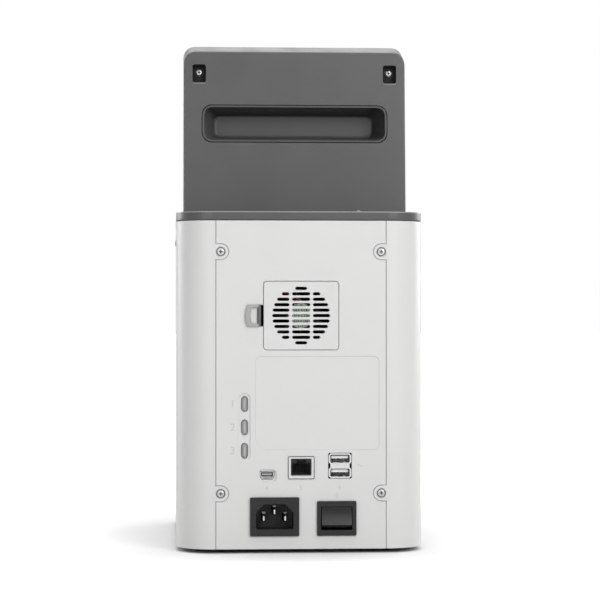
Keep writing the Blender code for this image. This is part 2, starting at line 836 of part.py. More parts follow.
def fan_opening():
    """Opening for the fan cover, with the slot in which the catch moves."""
    half_width = COVER_WIDTH / 2 + COVER_SEAM
    half_height = COVER_HEIGHT / 2 + COVER_SEAM
    radius = COVER_RADIUS + COVER_SEAM
    points = rounded_rectangle(2 * half_width, 2 * half_height, radius, (0, FAN_Z))
    slot = [
        (half_width, FAN_Z - CATCH_SLOT_HALF),
        (CATCH_SLOT_END, FAN_Z - CATCH_SLOT_HALF),
        (CATCH_SLOT_END, FAN_Z + CATCH_SLOT_HALF),
        (half_width, FAN_Z + CATCH_SLOT_HALF),
    ]
    return points + slot


def label_outline():
    """Label recess with one lower corner cut off at a slant."""
    points = rounded_rectangle(LABEL_WIDTH, LABEL_HEIGHT, LABEL_RADIUS, (LABEL_X, LABEL_Z))
    right = LABEL_X + LABEL_WIDTH / 2
    bottom = LABEL_Z - LABEL_HEIGHT / 2
    kept = points[: -(SMALL_CORNER_STEPS + 1)]
    return kept + [(right - LABEL_CHAMFER, bottom), (right, bottom + LABEL_CHAMFER)]


def button_heights():
    return {
        "upper": BUTTON_MIDDLE_Z + BUTTON_PITCH,
        "middle": BUTTON_MIDDLE_Z,
        "lower": BUTTON_MIDDLE_Z - BUTTON_PITCH,
    }


def make_rear_panel():
    outline = [
        (PANEL_HALF, GROUND_GAP),
        (PANEL_HALF, COVER_TOP),
        (-PANEL_HALF, COVER_TOP),
        (-PANEL_HALF, GROUND_GAP),
    ]
    button_hole = (BUTTON_WIDTH + 2 * FIT, BUTTON_HEIGHT + 2 * FIT)
    holes = [pill(*button_hole, (BUTTON_X, z)) for z in button_heights().values()]
    holes.append(fan_opening())
    holes.append(mini_outline(-FIT))
    ports = (
        (LAN_WIDTH, LAN_HEIGHT, (0, LAN_Z)),
        (USB_RING_WIDTH, USB_PORT_PITCH + USB_RING_HEIGHT, (USB_X, USB_Z)),
        (INLET_BODY_WIDTH, INLET_BODY_HEIGHT, (INLET_X, INLET_Z)),
        (SWITCH_BODY_WIDTH, SWITCH_BODY_HEIGHT, (SWITCH_X, SWITCH_Z)),
    )
    for width, height, centre in ports:
        holes.append(rounded_rectangle(width + 2 * FIT, height + 2 * FIT, SEAM, centre, steps=1))
    panel = slab("rear_panel", "white_shell", [outline] + holes, PANEL_INNER, REAR, "Y")
    outside = REAR + OVERRUN
    recess = pill(BUTTON_RECESS_WIDTH, BUTTON_RECESS_HEIGHT, (BUTTON_X, BUTTON_MIDDLE_Z), CORNER_STEPS)
    mini = rounded_rectangle(
        MINI_RECESS_WIDTH, MINI_RECESS_HEIGHT, MINI_RECESS_RADIUS, (MINI_X, MINI_Z)
    )
    carve(
        panel,
        slab("label_recess", None, [label_outline()], REAR - LABEL_DEPTH, outside, "Y"),
        slab("button_recess", None, [recess], REAR - BUTTON_RECESS_DEPTH, outside, "Y"),
        slab("mini_recess", None, [mini], REAR - MINI_RECESS_DEPTH, outside, "Y"),
    )
    ledge_top = REAR - EAR_THICKNESS - FIT
    bore = SCREW_SHANK_RADIUS + FIT
    for side in (-1, 1):
        for z in EAR_HEIGHTS:
            outer = side * (PANEL_HALF - SEAM)
            inner = side * (PANEL_HALF - LEDGE_WIDTH)
            ledge = block(
                "screw_ledge",
                None,
                (inner, ledge_top - LEDGE_DEPTH, z - LEDGE_HEIGHT / 2),
                (outer, ledge_top, z + LEDGE_HEIGHT / 2),
            )
            across = (side * EAR_SCREW_X, z)
            low = ledge_top - LEDGE_DEPTH - OVERRUN
            notch = ear_shape(side, EAR_RADIUS + SEAM, PANEL_HALF + OVERRUN, z)
            carve(panel, slab("ear_notch", None, [notch], PANEL_INNER - OVERRUN, outside, "Y"))
            fuse(panel, ledge)
            carve(panel, cylinder("ledge_bore", None, bore, low, REAR, across, "Y", PIN_STEPS))
    return panel


def make_rear_buttons():
    face = REAR - BUTTON_RECESS_DEPTH + BUTTON_PROUD
    flange_face = PANEL_INNER - FIT
    for level, z in button_heights().items():
        centre = (BUTTON_X, z)
        stem = pill(BUTTON_WIDTH, BUTTON_HEIGHT, centre)
        wide = BUTTON_WIDTH + 2 * BUTTON_FLANGE
        tall = BUTTON_HEIGHT + 2 * BUTTON_FLANGE
        flange_back = flange_face - BUTTON_FLANGE_THICKNESS
        button = slab(
            f"rear_button_{level}", "button_grey", [stem], flange_back, face, "Y", BUTTON_ROUND
        )
        fuse(button, slab("button_flange", None, [pill(wide, tall, centre)], flange_back, flange_face, "Y"))
        dish = pill(BUTTON_WIDTH - 2 * BUTTON_RIM, BUTTON_HEIGHT - 2 * BUTTON_RIM, centre)
        carve(button, slab("button_dish", None, [dish], face - BUTTON_DISH, face + OVERRUN, "Y"))


def grille_slots():
    """Rows of slots within a circle, each row split by two bridges beside the middle column."""
    slots = []
    middle_half = GRILLE_MIDDLE / 2
    outer_start = middle_half + GRILLE_BRIDGE
    for row in range(-GRILLE_ROWS, GRILLE_ROWS + 1):
        z = FAN_Z + row * GRILLE_PITCH
        if abs(row) == GRILLE_ROWS:
            slots.append(pill(GRILLE_END_SLOT, GRILLE_SLOT, (0, z), 3))
            continue
        slots.append(pill(GRILLE_MIDDLE, GRILLE_SLOT, (0, z), 3))
        reach = abs(row) * GRILLE_PITCH
        end = math.sqrt(GRILLE_RADIUS**2 - reach**2)
        for side in (-1, 1):
            centre = (side * (outer_start + end) / 2, z)
            slots.append(pill(end - outer_start, GRILLE_SLOT, centre, 3))
    return slots


def hinge_edge_x():
    return -COVER_WIDTH / 2 - COVER_SEAM / 2


def make_fan_cover():
    outline = rounded_rectangle(COVER_WIDTH, COVER_HEIGHT, COVER_RADIUS, (0, FAN_Z))
    low = REAR - COVER_THICKNESS
    hinge = (hinge_edge_x(), REAR, FAN_Z)
    cover = slab("fan_cover", "white_shell", [outline], low, REAR, "Y", origin=hinge)
    carve(cover, slab("grille", None, grille_slots(), low - OVERRUN, REAR + OVERRUN, "Y"))
    rib_depth = CATCH_SLIDER_THICKNESS + FIT
    inner = COVER_WIDTH / 2 - OVERRUN
    for side in (-1, 1):
        start = FAN_Z + side * (CATCH_SLIDER_HALF + FIT)
        end = start + side * GUIDE_RIB
        rib = block(
            "catch_guide",
            None,
            (CATCH_SLIDER_START, low - rib_depth, start),
            (inner, low + OVERLAP, end),
        )
        fuse(cover, rib)
    return cover


def catch_outline():
    """U-shaped pull that is open towards the fan cover, with a bowed bar at its tip."""
    bow = CATCH_TIP - CATCH_SHOULDER
    half = CATCH_HALF
    radius = (half**2 + bow**2) / (2 * bow)
    sweep = math.degrees(math.asin(half / radius))
    outer = arc((CATCH_TIP - radius, FAN_Z), radius, -sweep, sweep, 6)
    inner_half = half - CATCH_ARM
    inner_radius = radius - CATCH_BAR
    inner_sweep = math.degrees(math.asin(inner_half / inner_radius))
    inner = arc((CATCH_TIP - radius, FAN_Z), inner_radius, inner_sweep, -inner_sweep, 6)
    points = [(CATCH_START, FAN_Z - half)] + outer + [(CATCH_START, FAN_Z + half)]
    points += [(CATCH_START, FAN_Z + inner_half)] + inner + [(CATCH_START, FAN_Z - inner_half)]
    return points


def make_cover_catch():
    low = REAR + FIT
    slider_high = REAR - COVER_THICKNESS - FIT
    slider_low = slider_high - CATCH_SLIDER_THICKNESS
    leg_end = CATCH_SLOT_END - SEAM
    catch = slab(
        "cover_catch", "catch_grey", [catch_outline()], low, low + CATCH_THICKNESS, "Y", GUIDE_RIB / 2
    )
    for side in (-1, 1):
        outer = FAN_Z + side * (CATCH_SLIDER_HALF)
        inner = outer - side * CATCH_LEG_HEIGHT
        leg = block(
            "catch_leg",
            None,
            (leg_end - CATCH_LEG_WIDTH, slider_low + OVERLAP, inner),
            (leg_end, low + OVERLAP * 2, outer),
        )
        fuse(catch, leg)
    wall = block(
        "catch_wall",
        None,
        (CATCH_WALL_START, slider_low + OVERLAP, FAN_Z - CATCH_SLIDER_HALF),
        (leg_end, REAR - CATCH_WALL_SINK, FAN_Z + CATCH_SLIDER_HALF),
    )
    fuse(catch, wall)
    slider = block(
        "catch_slider",
        None,
        (CATCH_SLIDER_START, slider_low, FAN_Z - CATCH_SLIDER_HALF),
        (leg_end, slider_high, FAN_Z + CATCH_SLIDER_HALF),
    )
    fuse(catch, slider)


def mount_span():
    """Inner width, height and middle of the fan mount, which takes in the catch's slot."""
    left = -COVER_WIDTH / 2 - COVER_SEAM - MOUNT_MARGIN
    right = CATCH_SLOT_END + MOUNT_MARGIN
    return right - left, COVER_HEIGHT + 2 * (COVER_SEAM + MOUNT_MARGIN), (left + right) / 2


def make_fan_mount():
    width, height, x = mount_span()
    high = PANEL_INNER - FIT
    low = high - MOUNT_DEPTH
    outline = rounded_rectangle(width + 2 * MOUNT_RIM, height + 2 * MOUNT_RIM, MOUNT_RIM, (x, FAN_Z))
    bore = circle(FAN_BORE, (0, FAN_Z))
    mount = slab("fan_mount", "white_shell", [outline, bore], low, high, "Y")
    hollow = rounded_rectangle(width, height, MOUNT_FLOOR, (x, FAN_Z))
    carve(mount, slab("mount_hollow", None, [hollow], low + MOUNT_FLOOR, high + OVERRUN, "Y"))


def fan_face():
    return PANEL_INNER - FIT - MOUNT_DEPTH - FIT


def make_fan_frame():
    high = fan_face()
    low = high - FAN_DEPTH
    outline = rounded_rectangle(FAN_SIZE, FAN_SIZE, FAN_RADIUS, (0, FAN_Z))
    holes = [circle(FAN_BORE, (0, FAN_Z))]
    for x in (-FAN_HOLE_OFFSET, FAN_HOLE_OFFSET):
        for z in (FAN_Z - FAN_HOLE_OFFSET, FAN_Z + FAN_HOLE_OFFSET):
            holes.append(circle(FAN_HOLE, (x, z), PIN_STEPS // 2))
    frame = slab("fan_frame", "black_plastic", [outline] + holes, low, high, "Y")
    plate_low = high - FAN_HUB_PLATE
    hub = cylinder("fan_hub_plate", None, FAN_HUB_RADIUS, plate_low, high, (0, FAN_Z), "Y")
    bearing_low = plate_low - FAN_BEARING_LENGTH
    bearing = cylinder(
        "fan_bearing", None, FAN_BEARING_RADIUS, bearing_low, high, (0, FAN_Z), "Y", PIN_STEPS
    )
    for index in range(FAN_STRUTS):
        turn = FAN_STRUT_TURN + index * math.tau / FAN_STRUTS
        strut = block(
            "fan_strut",
            None,
            (0, plate_low, -FAN_STRUT_WIDTH / 2),
            (FAN_BORE + OVERLAP, high, FAN_STRUT_WIDTH / 2),
            origin=(0, 0, 0),
        )
        strut.location = (0, 0, FAN_Z)
        strut.rotation_euler = (0, turn, 0)
        fuse(frame, strut)
    fuse(frame, hub, bearing)


def make_fan_rotor():
    high = fan_face() - FAN_HUB_PLATE - FIT
    low = fan_face() - FAN_DEPTH + FIT
    depth = high - low
    recess = FAN_BEARING_LENGTH + FIT
    bore = FAN_BEARING_RADIUS + FIT
    profile = [
        (0, depth - recess),
        (bore, depth - recess),
        (bore, depth),
        (ROTOR_HUB_RADIUS, depth),
        (ROTOR_HUB_RADIUS, 0),
        (0, 0),
    ]
    rotor = turned("fan_rotor", "black_plastic", profile, (0, low, FAN_Z), "Y", PIN_STEPS * 2)
    for index in range(ROTOR_BLADES):
        blade = block(
            "rotor_blade",
            None,
            (ROTOR_HUB_RADIUS - SEAM, -ROTOR_BLADE_WIDTH / 2, -ROTOR_BLADE_THICKNESS / 2),
            (ROTOR_BLADE_TIP, ROTOR_BLADE_WIDTH / 2, ROTOR_BLADE_THICKNESS / 2),
            origin=(0, 0, 0),
        )
        blade.location = (0, low + depth / 2, FAN_Z)
        swing = Matrix.Rotation(index * math.tau / ROTOR_BLADES, 3, "Y")
        twist = Matrix.Rotation(ROTOR_BLADE_TWIST, 3, "X")
        blade.rotation_euler = (swing @ twist).to_euler()
        fuse(rotor, blade)


def mini_outline(inset):
    """Mini USB outline moved in from the shell's outside, narrower along its lower edge."""
    half = MINI_SHELL_WIDTH / 2 - inset
    foot = half - MINI_SHOULDER
    top = MINI_Z + MINI_SHELL_HEIGHT / 2 - inset
    bottom = MINI_Z - MINI_SHELL_HEIGHT / 2 + inset
    return [
        (MINI_X - foot, bottom),
        (MINI_X + foot, bottom),
        (MINI_X + foot, bottom + MINI_SHOULDER),
        (MINI_X + half, bottom + 2 * MINI_SHOULDER),
        (MINI_X + half, top),
        (MINI_X - half, top),
        (MINI_X - half, bottom + 2 * MINI_SHOULDER),
        (MINI_X - foot, bottom + MINI_SHOULDER),
    ]


def make_mini_usb():
    face = REAR - MINI_RECESS_DEPTH
    back = face - MINI_SHELL_DEPTH
    outlines = [mini_outline(0), mini_outline(MINI_SHELL_WALL)]
    slab("mini_usb_shell", "steel", outlines, back, face, "Y")
    core_outline = mini_outline(MINI_SHELL_WALL + FIT)
    core = slab("mini_usb_core", "black_plastic", [core_outline], back, back + MINI_CORE_DEPTH, "Y")
    tongue = block(
        "mini_tongue",
        None,
        (MINI_X - MINI_TONGUE_WIDTH / 2, back, MINI_Z - MINI_TONGUE_HEIGHT / 2),
        (MINI_X + MINI_TONGUE_WIDTH / 2, face - OVERRUN, MINI_Z + MINI_TONGUE_HEIGHT / 2),
    )
    fuse(core, tongue)


def make_network_port():
    face = REAR + LAN_PROUD
    back = face - LAN_DEPTH
    middle = (0, LAN_Z + LAN_POCKET_RAISE)
    outline = rounded_rectangle(LAN_WIDTH, LAN_HEIGHT, SEAM, (0, LAN_Z), 2)
    pocket = rounded_rectangle(LAN_POCKET_WIDTH, LAN_POCKET_HEIGHT, FIT, middle, 1)
    slab("lan_shield", "steel", [outline, pocket], back, face, "Y")
    insert_width = LAN_POCKET_WIDTH - 2 * FIT
    insert_height = LAN_POCKET_HEIGHT - 2 * FIT
    front = face - SEAM
    insert = slab(
        "lan_insert",
        "black_plastic",
        [rounded_rectangle(insert_width, insert_height, FIT, middle, 1)],
        back,
        front,
        "Y",
    )
    floor = middle[1] - insert_height / 2 + LAN_CAVITY_FLOOR
    ceiling = floor + LAN_CAVITY_HEIGHT
    half = LAN_CAVITY_WIDTH / 2
    key_half = LAN_KEY_WIDTH / 2
    cavity = [
        (-half, floor),
        (half, floor),
        (half, ceiling),
        (key_half, ceiling),
        (key_half, ceiling + LAN_KEY_HEIGHT),
        (-key_half, ceiling + LAN_KEY_HEIGHT),
        (-key_half, ceiling),
        (-half, ceiling),
    ]
    carve(insert, slab("lan_cavity", None, [cavity], front - LAN_CAVITY_DEPTH, front + OVERRUN, "Y"))


def usb_outline():
    """Two rings with cut corners, one above the other, joined by a narrower bridge."""
    half = USB_RING_WIDTH / 2
    bridge = USB_BRIDGE_WIDTH / 2
    top = (USB_PORT_PITCH + USB_RING_HEIGHT) / 2
    inner = (USB_PORT_PITCH - USB_RING_HEIGHT) / 2
    shoulder = inner + USB_RING_CHAMFER
    upper_right = [
        (bridge, shoulder - half + bridge),
        (half, shoulder),
        (half, top - USB_RING_CHAMFER),
        (half - USB_RING_CHAMFER, top),
    ]
    lower_right = [(x, -z) for x, z in reversed(upper_right)]
    right = lower_right + upper_right
    left = mirrored(right)
    return [(USB_X + x, USB_Z + z) for x, z in right + left]


def make_twin_usb():
    face = REAR
    back = face - USB_DEPTH
    ports = [(USB_X, USB_Z + side * USB_PORT_PITCH / 2) for side in (-1, 1)]
    outline = usb_outline()
    pockets = [rounded_rectangle(USB_PORT_WIDTH, USB_PORT_HEIGHT, USB_PORT_RADIUS, p, 2) for p in ports]
    slab("usb_shell", "steel", [outline] + pockets, back, face, "Y")
    core_front = back - FIT
    core = slab("usb_core", "port_white", [outline], core_front - USB_CORE_DEPTH, core_front, "Y")
    for x, z in ports:
        top = z + USB_PORT_HEIGHT / 2 - SEAM
        tongue = block(
            "usb_tongue",
            None,
            (x - USB_TONGUE_WIDTH / 2, core_front - OVERLAP, top - USB_TONGUE_HEIGHT),
            (x + USB_TONGUE_WIDTH / 2, core_front + USB_TONGUE_LENGTH, top),
        )
        fuse(core, tongue)


def inlet_cavity():
    """Inlet opening with its two upper corners cut off at a slant."""
    half = INLET_CAVITY_WIDTH / 2
    bottom = INLET_Z - INLET_CAVITY_HEIGHT / 2
    top = INLET_Z + INLET_CAVITY_HEIGHT / 2
    radius = INLET_CAVITY_RADIUS
    points = arc((INLET_X - half + radius, bottom + radius), radius, 180, 270, 3)
    points += arc((INLET_X + half - radius, bottom + radius), radius, 270, 360, 3)
    points += [
        (INLET_X + half, top - INLET_CAVITY_CHAMFER),
        (INLET_X + half - INLET_CAVITY_CHAMFER, top),
        (INLET_X - half + INLET_CAVITY_CHAMFER, top),
        (INLET_X - half, top - INLET_CAVITY_CHAMFER),
    ]
    return points


def make_inlet():
    flange_low = REAR + FIT
    face = flange_low + INLET_FLANGE
    back = face - INLET_BODY_DEPTH
    centre = (INLET_X, INLET_Z)
    flange = [rounded_rectangle(INLET_WIDTH, INLET_HEIGHT, SEAM, centre, 2)]
    body = [rounded_rectangle(INLET_BODY_WIDTH, INLET_BODY_HEIGHT, SEAM, centre, 2)]
    housing = slab("inlet_housing", "black_plastic", flange, flange_low, face, "Y", FIT)
    fuse(housing, slab("inlet_body", None, body, back, flange_low + OVERLAP, "Y"))
    carve(
        housing,
        slab("inlet_cavity", None, [inlet_cavity()], back + INLET_BACK_WALL, face + OVERRUN, "Y"),
    )
    low_row = INLET_Z - PIN_DROP
    pins = {
        "inlet_pin_left": (INLET_X - PIN_PITCH, low_row),
        "inlet_pin_right": (INLET_X + PIN_PITCH, low_row),
        "inlet_pin_earth": (INLET_X, INLET_Z + PIN_RISE),
    }
    half_width = PIN_WIDTH / 2
    half_height = PIN_HEIGHT / 2
    for name, (x, z) in pins.items():
        hole = block(
            "pin_hole",
            None,
            (x - half_width - FIT, back - OVERRUN, z - half_height - FIT),
            (x + half_width + FIT, back + INLET_BACK_WALL + OVERRUN, z + half_height + FIT),
        )
        carve(housing, hole)
        block(
            name,
            "steel",
            (x - half_width, back - PIN_TAIL, z - half_height),
            (x + half_width, face - PIN_SETBACK, z + half_height),
            PIN_EDGE,
        )


def rocker_outline():
    """Rocker in its resting tilt, as (Y, Z) points, with the upper end pressed in."""
    pivot = rocker_pivot()
    radius = (ROCKER_FACE_HALF**2 + ROCKER_DISH**2) / (2 * ROCKER_DISH)
    sweep = math.degrees(math.asin(ROCKER_FACE_HALF / radius))
    middle = (ROCKER_FACE - ROCKER_DISH + radius, 0)
    points = arc(middle, radius, 180 + sweep, 180 - sweep, ROCKER_STEPS)
    points += [
        (ROCKER_SHOULDER, ROCKER_SHOULDER_HALF),
        (-ROCKER_TAIL, ROCKER_TAIL_HALF),
        (-ROCKER_TAIL, -ROCKER_TAIL_HALF),
        (ROCKER_SHOULDER, -ROCKER_SHOULDER_HALF),
    ]
    cosine = math.cos(ROCKER_TILT)
    sine = math.sin(ROCKER_TILT)
    return [(pivot[1] + y * cosine - z * sine, pivot[2] + y * sine + z * cosine) for y, z in points]


def rocker_pivot():
    return (SWITCH_X, REAR + FIT + SWITCH_FLANGE - ROCKER_PIVOT_DEPTH, SWITCH_Z)


def make_switch():
    flange_low = REAR + FIT
    face = flange_low + SWITCH_FLANGE
    back = face - SWITCH_BODY_DEPTH
    centre = (SWITCH_X, SWITCH_Z)
    flange = rounded_rectangle(SWITCH_WIDTH, SWITCH_HEIGHT, SEAM, centre, 2)
    body = rounded_rectangle(SWITCH_BODY_WIDTH, SWITCH_BODY_HEIGHT, SEAM, centre, 2)
    aperture = rounded_rectangle(SWITCH_APERTURE_WIDTH, SWITCH_APERTURE_HEIGHT, FIT, centre, 1)
    pivot = rocker_pivot()
    across = (pivot[1], pivot[2])
    housing = slab("switch_housing", "black_plastic", [flange], flange_low, face, "Y", FIT)
    fuse(housing, slab("switch_body", None, [body], back, flange_low + OVERLAP, "Y"))
    reach = SWITCH_WIDTH / 2
    carve(
        housing,
        slab("switch_aperture", None, [aperture], back + SWITCH_BACK_WALL, face + OVERRUN, "Y"),
        cylinder(
            "trunnion_bore",
            None,
            TRUNNION_RADIUS + FIT,
            SWITCH_X - reach,
            SWITCH_X + reach,
            across,
            "X",
            PIN_STEPS,
        ),
    )
    half = ROCKER_WIDTH / 2
    rocker = slab(
        "switch_rocker",
        "black_plastic",
        [rocker_outline()],
        SWITCH_X - half,
        SWITCH_X + half,
        "X",
        origin=pivot,
    )
    pin_half = TRUNNION_LENGTH / 2
    trunnions = cylinder(
        "trunnions",
        None,
        TRUNNION_RADIUS,
        SWITCH_X - pin_half,
        SWITCH_X + pin_half,
        across,
        "X",
        PIN_STEPS,
    )
    fuse(rocker, trunnions)


def make_side_button(cover):
    centre = (REAR - SIDE_BUTTON_SETBACK, SIDE_BUTTON_Z)
    stem = pill(SIDE_BUTTON_LENGTH, SIDE_BUTTON_HEIGHT, centre)
    hole = pill(SIDE_BUTTON_LENGTH + 2 * FIT, SIDE_BUTTON_HEIGHT + 2 * FIT, centre)
    wide = SIDE_BUTTON_LENGTH + 2 * BUTTON_FLANGE
    tall = SIDE_BUTTON_HEIGHT + 2 * BUTTON_FLANGE
    inner = HALF_WIDTH - COVER_WALL
    flange_high = inner - FIT
    flange_low = flange_high - BUTTON_FLANGE_THICKNESS
    carve(cover, slab("side_button_hole", None, [hole], inner - OVERRUN, HALF_WIDTH + OVERRUN, "X"))
    button = slab(
        "side_button",
        "button_grey",
        [stem],
        flange_low,
        HALF_WIDTH + SIDE_BUTTON_PROUD,
        "X",
        BUTTON_EDGE,
    )
    fuse(button, slab("side_flange", None, [pill(wide, tall, centre)], flange_low, flange_high, "X"))


def make_front_panel():
    half = PANEL_HALF
    outline = [(half, GROUND_GAP), (half, COVER_TOP), (-half, COVER_TOP), (-half, GROUND_GAP)]
    start_hole = circle(START_RADIUS + FIT, (0, START_Z))
    opening_width = DOOR_WIDTH + 2 * DOOR_SEAM
    opening_height = DOOR_HEIGHT + DOOR_SEAM + PAPER_GAP
    middle = DOOR_Z + (PAPER_GAP - DOOR_SEAM) / 2
    opening = rounded_rectangle(opening_width, opening_height, DOOR_RADIUS + DOOR_SEAM, (0, middle))
    slab("front_panel", "white_shell", [outline, start_hole, opening], FRONT, FRONT + PANEL_WALL, "Y")


def make_start_button():
    length = PANEL_WALL + START_PROUD
    back = length + FIT + BUTTON_FLANGE_THICKNESS
    wide = START_RADIUS + START_FLANGE
    profile = [
        (0, back),
        (wide, back),
        (wide, length + FIT),
        (START_RADIUS, length + FIT),
        (START_RADIUS, BUTTON_EDGE),
        (START_RADIUS - BUTTON_EDGE, 0),
        (START_RADIUS / 2, START_DISH),
        (0, START_DISH),
    ]
    turned("start_button", "button_grey", profile, (0, FRONT - START_PROUD, START_Z), "Y")


def make_printer_door():
    outline = rounded_rectangle(DOOR_WIDTH, DOOR_HEIGHT, DOOR_RADIUS, (0, DOOR_Z))
    inner_face = FRONT + PANEL_WALL
    bottom = DOOR_Z - DOOR_HEIGHT / 2
    top = DOOR_Z + DOOR_HEIGHT / 2
    door = slab(
        "printer_door",
        "white_shell",
        [outline],
        FRONT,
        inner_face,
        "Y",
        origin=(0, FRONT, bottom - DOOR_SEAM / 2),
    )
    roller_y = inner_face + ROLLER_SETBACK
    roller_z = top - ROLLER_DROP
    bore = cylinder(
        "roller_bore",
        None,
        ROLLER_SHAFT_RADIUS + FIT,
        -DOOR_WIDTH / 2,
        DOOR_WIDTH / 2,
        (roller_y, roller_z),
        "X",
        PIN_STEPS,
    )
    for side in (-1, 1):
        start = side * (ROLLER_HALF + FIT)
        end = start + side * ROLLER_ARM
        arm = block(
            "roller_arm",
            None,
            (start, inner_face - OVERLAP, roller_z - ROLLER_ARM_HEIGHT / 2),
            (end, roller_y + ROLLER_ARM_HEIGHT / 2, roller_z + ROLLER_ARM_HEIGHT / 2),
        )
        fuse(door, arm)
    pull = pill(DOOR_PULL_WIDTH, DOOR_PULL_HEIGHT, (0, top - DOOR_PULL_HEIGHT - DOOR_RADIUS))
    carve(
        door,
        bore,
        slab("door_pull", None, [pull], FRONT - OVERRUN, FRONT + DOOR_PULL_DEPTH, "Y"),
    )
    shaft_end = ROLLER_HALF + ROLLER_ARM
    profile = [
        (0, shaft_end),
        (ROLLER_SHAFT_RADIUS, shaft_end),
        (ROLLER_SHAFT_RADIUS, ROLLER_HALF - FIT),
        (ROLLER_RADIUS, ROLLER_HALF - FIT),
        (ROLLER_RADIUS, -ROLLER_HALF + FIT),
        (ROLLER_SHAFT_RADIUS, -ROLLER_HALF + FIT),
        (ROLLER_SHAFT_RADIUS, -shaft_end),
        (0, -shaft_end),
    ]
    turned("platen_roller", "rubber", profile, (0, roller_y, roller_z), "X", PIN_STEPS * 2)
    head_low = roller_y + ROLLER_RADIUS + PRINT_HEAD_GAP
    head_half = BAY_HALF_WIDTH - BAY_WALL - FIT
    block(
        "print_head",
        "steel",
        (-head_half, head_low, roller_z - PRINT_HEAD_HEIGHT / 2),
        (head_half, head_low + PRINT_HEAD_DEPTH, roller_z + PRINT_HEAD_HEIGHT / 2),
        SEAM,
    )


def make_printer_bay():
    low = FRONT + PANEL_WALL + FIT
    high = low + BAY_DEPTH
    near_corner = (-BAY_HALF_WIDTH, low, BAY_LOW)
    bay = block("printer_housing", "black_plastic", near_corner, (BAY_HALF_WIDTH, high, BAY_HIGH))
    inner_half = BAY_HALF_WIDTH - BAY_WALL
    hollow = block(
        "bay_hollow",
        None,
        (-inner_half, low - OVERRUN, BAY_LOW + BAY_WALL),
        (inner_half, high - BAY_WALL, BAY_HIGH - BAY_WALL),
    )
    carve(bay, hollow)
    core_z = BAY_LOW + BAY_WALL + FIT + PAPER_RADIUS
    profile = [
        (PAPER_RADIUS, PAPER_HALF),
        (PAPER_RADIUS, -PAPER_HALF),
        (PAPER_CORE, -PAPER_HALF),
        (PAPER_CORE, PAPER_HALF),
    ]
    turned("paper_roll", "paper", profile, (0, FRONT + PAPER_SETBACK, core_z), "X", closed=True)


def make_deck_frame():
    low = DECK_TOP - BAND_HEIGHT
    outline = rounded_rectangle(BODY_WIDTH, BODY_DEPTH, BODY_CORNER, steps=CORNER_STEPS)
    well = circle(WELL_RADIUS, (0, WELL_Y))
    cable_slot = pill(CABLE_SLOT_WIDTH, CABLE_SLOT_DEPTH, (0, HEAD_REAR - CABLE_SLOT_SETBACK))
    frame = slab("deck_frame", "grey_shell", [outline, well, cable_slot], low, DECK_TOP, edge=DECK_EDGE)
    hollow = rounded_rectangle(
        BODY_WIDTH - 2 * DECK_RIM,
        BODY_DEPTH - 2 * DECK_RIM,
        BODY_CORNER - DECK_RIM,
        steps=CORNER_STEPS,
    )
    carve(frame, slab("deck_hollow", None, [hollow], low - OVERRUN, DECK_TOP - DECK_PLATE))
    foot = DECK_TOP - OVERLAP
    lug = arc((HINGE_Y, HINGE_Z), HINGE_RADIUS, 0, 180, CORNER_STEPS // 2)
    lug += [(HINGE_Y - HINGE_RADIUS, foot), (HINGE_Y + HINGE_RADIUS, foot)]
    for side in (-1, 1):
        start = HINGE_HALF + FIT
        ends = sorted((side * start, side * (start + LUG_WIDTH)))
        fuse(frame, slab("hinge_lug", None, [lug], *ends, "X"))
    reach = HINGE_HALF + LUG_WIDTH + OVERRUN
    carve(
        frame,
        cylinder("lug_bore", None, HINGE_BORE, -reach, reach, (HINGE_Y, HINGE_Z), "X", PIN_STEPS),
    )


